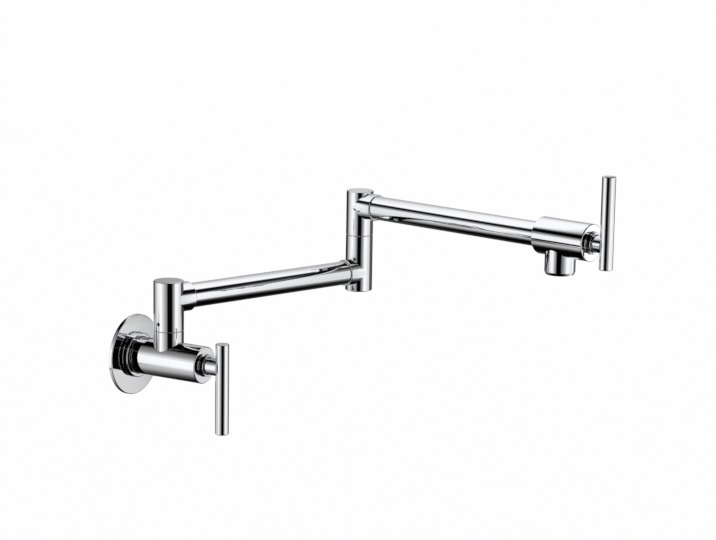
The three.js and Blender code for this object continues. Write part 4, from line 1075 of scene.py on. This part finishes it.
outlet_rear = OUTLET_REAR - SPOUT_DISTANCE
outlet_front = OUTLET_END - SPOUT_DISTANCE
outlet_inlet, outlet_socket = open_end(
    outlet_rear, OUTLET_BODY_RADIUS, BODY_RIM, SOCKET_RADIUS, OUTLET_SOCKET, WATERWAY_RADIUS, -1,
)
outlet_mouth, outlet_thread = open_end(
    outlet_front, OUTLET_BODY_RADIUS, BODY_RIM, *THREAD_BORE, CARTRIDGE_BORE_RADIUS,
)
rim_width, rim_height = SPOUT_RIM
seat_radius, seat_depth = AERATOR_SEAT
bore_radius, bore_depth = AERATOR_BORE
outlet_body = bmesh.new()
tee(
    outlet_body, OUTLET_BODY_RADIUS, SPOUT_RADIUS, BODY_REACH, BODY_SPREAD,
    left=outlet_inlet,
    right=outlet_mouth,
    arm=[
        (SPOUT_DROP - rim_height, SPOUT_RADIUS, 1.5),
        (SPOUT_DROP, SPOUT_RADIUS - rim_width, 0.1),
        (SPOUT_DROP, seat_radius, 0),
        *ledge(SPOUT_DROP - seat_depth, seat_radius, bore_radius),
    ],
)
tee(
    outlet_body, CARTRIDGE_BORE_RADIUS, SPOUT_WATERWAY, SPOUT_WATERWAY_REACH, BODY_SPREAD,
    left=ledge(outlet_front - CARTRIDGE_DEPTH, CARTRIDGE_BORE_RADIUS, WATERWAY_RADIUS) + outlet_socket,
    right=outlet_thread,
    arm=[
        *ledge(SPOUT_DROP - bore_depth, SPOUT_WATERWAY, bore_radius),
        (SPOUT_DROP - seat_depth, bore_radius, 0),
    ],
    inside=True,
)
spout_axis = upper_axis + UPPER_ARM * SPOUT_DISTANCE
add_piece(
    "outlet_valve_barrel", outlet_body, placed(spout_axis, -UP, UPPER_ARM), CHROME,
    "upper_arm", "chrome", "outlet_valve_body",
)

# ----------------------------------------
# Aerator: a chromed ring screwed up into the spout, which holds a moulded honeycomb that
# straightens the stream. Geometry nodes lay out its cells.

AERATOR_RIM_RADIUS = 12.0
AERATOR_RIM_HEIGHT = 1.2
AERATOR_THREAD_RADIUS = 11.4
AERATOR_HEIGHT = 10.0
AERATOR_BORE_RADIUS = 9.9
AERATOR_LIP_RADIUS = 8.8
AERATOR_LIP_HEIGHT = 1.5
INSERT_RADIUS = 9.7
INSERT_WALL = 1.1
INSERT_EDGE = 0.15
INSERT_LOW = 1.7
INSERT_HIGH = 9.3
HONEYCOMB_HEIGHT = 3.0
HONEYCOMB_ROWS = 15
CELL_PITCH = 1.6
CELL_WALL = 0.3
RIM_CLEARANCE = 0.6
CUT_THROUGH = 1.5

aerator_ring = turned([
    (AERATOR_LIP_RADIUS, 0, 0.25),
    (AERATOR_RIM_RADIUS, 0, 0.3),
    (AERATOR_RIM_RADIUS, AERATOR_RIM_HEIGHT, 0),
    (AERATOR_THREAD_RADIUS, AERATOR_RIM_HEIGHT, 0),
    (AERATOR_THREAD_RADIUS, AERATOR_HEIGHT, 0.3),
    (AERATOR_BORE_RADIUS, AERATOR_HEIGHT, 0),
    (AERATOR_BORE_RADIUS, AERATOR_LIP_HEIGHT, 0),
    (AERATOR_LIP_RADIUS, AERATOR_LIP_HEIGHT, 0.2),
], closed=True)
add_piece(
    "aerator_ring", aerator_ring, placed(spout_axis - UP * SPOUT_DROP, UP, UPPER_ARM), CHROME,
    "upper_arm", "chrome", "aerator_housing",
)

# Off-white acetal with a slight sheen and flow marks.
ACETAL = surface_finish(
    "moulded_acetal", (0.8, 0.8, 0.77), 0,
    shades=(120, (0.82, 0.82, 0.79), (0.74, 0.74, 0.71)),
    gloss=(500, 3, 0.34, 0.46), grain=(1500, 2, 0.00001),
)
dress_nodes("acetal", ACETAL)


def hexagon_prism(tree, radius, depth):
    """A six-sided prism about the middle."""
    return node(tree, "GeometryNodeMeshCylinder", {"Vertices": 6, "Radius": radius, "Depth": depth})


def cut_away(tree, solid, cutter):
    """The first of two shapes without the second."""
    return node(tree, "GeometryNodeMeshBoolean", {
        "Mesh 1": solid, "Mesh 2": cutter,
    }, operation="DIFFERENCE")


def honeycomb():
    """Sets six-sided cells side by side inside a radius, on rows that are half a cell apart."""
    tree, inlet = node_tree("honeycomb", {
        "Radius": INSERT_RADIUS, "Pitch": CELL_PITCH, "Wall": CELL_WALL,
        "Height": HONEYCOMB_HEIGHT, "Rows": HONEYCOMB_ROWS,
    })
    pitch, rows, height = (inlet.outputs[size] for size in ("Pitch", "Rows", "Height"))
    row_pitch = reckon(tree, "MULTIPLY", pitch, math.sqrt(3) / 2)
    spans = reckon(tree, "SUBTRACT", rows, 1)
    grid = node(tree, "GeometryNodeMeshGrid", {
        "Size X": reckon(tree, "MULTIPLY", spans, pitch), "Vertices X": rows,
        "Size Y": reckon(tree, "MULTIPLY", spans, row_pitch), "Vertices Y": rows,
    })
    place = node(tree, "GeometryNodeInputPosition")
    parts = node(tree, "ShaderNodeSeparateXYZ", {"Vector": place})
    row = reckon(tree, "ROUND", reckon(tree, "DIVIDE", parts.outputs["Y"], row_pitch))
    odd = reckon(tree, "FLOORED_MODULO", row, 2)
    shift = reckon(tree, "MULTIPLY", reckon(tree, "MULTIPLY", odd, pitch), 0.5)
    staggered = node(tree, "GeometryNodeSetPosition", {
        "Geometry": grid, "Offset": node(tree, "ShaderNodeCombineXYZ", {"X": shift}),
    })
    far = node(tree, "ShaderNodeVectorMath", {0: place}, operation="LENGTH").outputs["Value"]
    clearance = reckon(tree, "MULTIPLY", pitch, RIM_CLEARANCE)
    limit = reckon(tree, "SUBTRACT", inlet.outputs["Radius"], clearance)
    kept = node(tree, "GeometryNodeDeleteGeometry", {
        "Geometry": staggered, "Selection": reckon(tree, "GREATER_THAN", far, limit),
    }, domain="POINT")
    open_pitch = reckon(tree, "SUBTRACT", pitch, inlet.outputs["Wall"])
    cell = cut_away(
        tree,
        hexagon_prism(tree, reckon(tree, "DIVIDE", pitch, math.sqrt(3)), height),
        hexagon_prism(
            tree, reckon(tree, "DIVIDE", open_pitch, math.sqrt(3)),
            reckon(tree, "MULTIPLY", height, CUT_THROUGH),
        ),
    )
    flat_side = node(tree, "GeometryNodeTransform", {
        "Geometry": cell, "Rotation": (0, 0, math.pi / 6),
    })
    lift = node(tree, "ShaderNodeCombineXYZ", {"Z": reckon(tree, "MULTIPLY", height, 0.5)})
    lifted = node(tree, "GeometryNodeTransform", {"Geometry": flat_side, "Translation": lift})
    cells = node(tree, "GeometryNodeInstanceOnPoints", {"Points": kept, "Instance": lifted})
    return finish_tree(tree, inlet, inlet, cells)


insert_rim = turned([
    (INSERT_RADIUS - INSERT_WALL, 0, 0),
    (INSERT_RADIUS, 0, INSERT_EDGE),
    (INSERT_RADIUS, INSERT_HIGH - INSERT_LOW, INSERT_EDGE),
    (INSERT_RADIUS - INSERT_WALL, INSERT_HIGH - INSERT_LOW, 0),
], sides=72, closed=True)
add_piece(
    "aerator_honeycomb", grown(insert_rim, honeycomb(), ACETAL),
    placed(spout_axis - UP * (SPOUT_DROP - INSERT_LOW), UP, UPPER_ARM), ACETAL,
    "upper_arm", "acetal", "aerator_insert",
)

# ----------------------------------------
# Set screws: small stainless screws with a hexagon socket. Two run in the grooves of the
# swivels' spigots, one holds the flange and one each handle. One node tree makes them all.

SWIVEL_SCREW_RADIUS = 1.2
SWIVEL_SCREW_TIP = 8.15
SWIVEL_SCREW_RECESS = 1.9
GRUB_RADIUS = 1.4
GRUB_RECESS = 0.3
GRUB_TIP_GAP = 0.2
SCREW_SIDES = 24
SCREW_SOCKET = (0.55, 0.35)

# Plain stainless steel, dulled a little by tumbling.
STEEL = surface_finish(
    "tumbled_stainless_steel", (0.5, 0.5, 0.5), 1,
    shades=(300, (0.56, 0.56, 0.56), (0.42, 0.42, 0.43)),
    gloss=(1200, 3, 0.28, 0.42), grain=(4000, 2, 0.000008),
)
dress_nodes("steel", STEEL)


def socket_screws():
    """A screw at each point, whose axis, girth and reach are the point's attributes."""
    tree, inlet = node_tree("socket_screws", {
        "Sides": SCREW_SIDES, "Socket Radius": SCREW_SOCKET[0], "Socket Depth": SCREW_SOCKET[1],
    })
    shank = node(tree, "GeometryNodeMeshCylinder", {
        "Vertices": inlet.outputs["Sides"], "Radius": 1.0, "Depth": 1.0,
    })
    sunk = node(tree, "GeometryNodeTransform", {"Geometry": shank, "Translation": (0, 0, -0.5)})
    depth = reckon(tree, "MULTIPLY", inlet.outputs["Socket Depth"], 2)
    screw = cut_away(tree, sunk, hexagon_prism(tree, inlet.outputs["Socket Radius"], depth))
    axis, girth, reach = (
        node(tree, "GeometryNodeInputNamedAttribute", {"Name": name}, data_type=kind)
        for name, kind in (("axis", "FLOAT_VECTOR"), ("girth", "FLOAT"), ("reach", "FLOAT"))
    )
    screws = node(tree, "GeometryNodeInstanceOnPoints", {
        "Points": inlet, "Instance": screw,
        "Rotation": node(tree, "FunctionNodeAlignRotationToVector", {"Vector": axis}, axis="Z"),
        "Scale": node(tree, "ShaderNodeCombineXYZ", {"X": girth, "Y": girth, "Z": reach}),
    })
    return finish_tree(tree, inlet, screws)


SCREW_TREE = socket_screws()


def handle_screw(end, out_of_valve):
    """Up through the hub's underside to the flat of the spindle."""
    head = HUB_RADIUS - GRUB_RECESS
    return end + out_of_valve * GRUB_OFFSET - UP * head, -UP, GRUB_RADIUS, head - HUB_SOCKET


def swivel_screw(axis, height, way, post_radius):
    """Level through a post's wall into the groove of the spigot."""
    head = post_radius - SWIVEL_SCREW_RECESS
    return axis + UP * height + way * head, way, SWIVEL_SCREW_RADIUS, head - SWIVEL_SCREW_TIP


base_way = level_way(LOWER_ARM_ANGLE + BASE_SCREW_ANGLE)
base_level = BASE_JOINT_HEIGHT + BASE_SCREW_HEIGHT
elbow_way = level_way(LOWER_ARM_ANGLE + math.pi + ELBOW_SCREW_ANGLE)
elbow_level = ARM_LEVEL + ELBOW_JOINT_RISE - ELBOW_SCREW_DEPTH
flange_head = FLANGE_HUB_RADIUS - GRUB_RECESS

for name, body, replaced, screws in (
    ("flange_set_screw", "wall_body", ["flange_grub_screw"], [(
        Vector((0, -FLANGE_SCREW_HEIGHT, -flange_head)), -UP, GRUB_RADIUS,
        flange_head - INLET_BODY_RADIUS - GRUB_TIP_GAP,
    )]),
    ("swivel_set_screws", "lower_arm", ["base_retaining_screw", "elbow_retaining_screw"], [
        swivel_screw(RISER, base_level, base_way, BASE_POST_RADIUS),
        swivel_screw(ELBOW_AXIS, elbow_level, elbow_way, ELBOW_POST_RADIUS),
    ]),
    ("inlet_handle_set_screw", "inlet_handle", ["inlet_handle_grub_screw"], [
        handle_screw(inlet_end, inlet_way),
    ]),
    ("outlet_handle_set_screw", "outlet_handle", ["outlet_handle_grub_screw"], [
        handle_screw(outlet_end, UPPER_ARM),
    ]),
):
    places, ways, girths, reaches = zip(*screws)
    heads = bmesh.new()
    for place in places:
        heads.verts.new(place)
    heads = grown(heads, SCREW_TREE, STEEL, {"axis": ways, "girth": girths, "reach": reaches})
    add_piece(name, heads, Matrix.Scale(MM, 4), STEEL, body, "steel", *replaced)
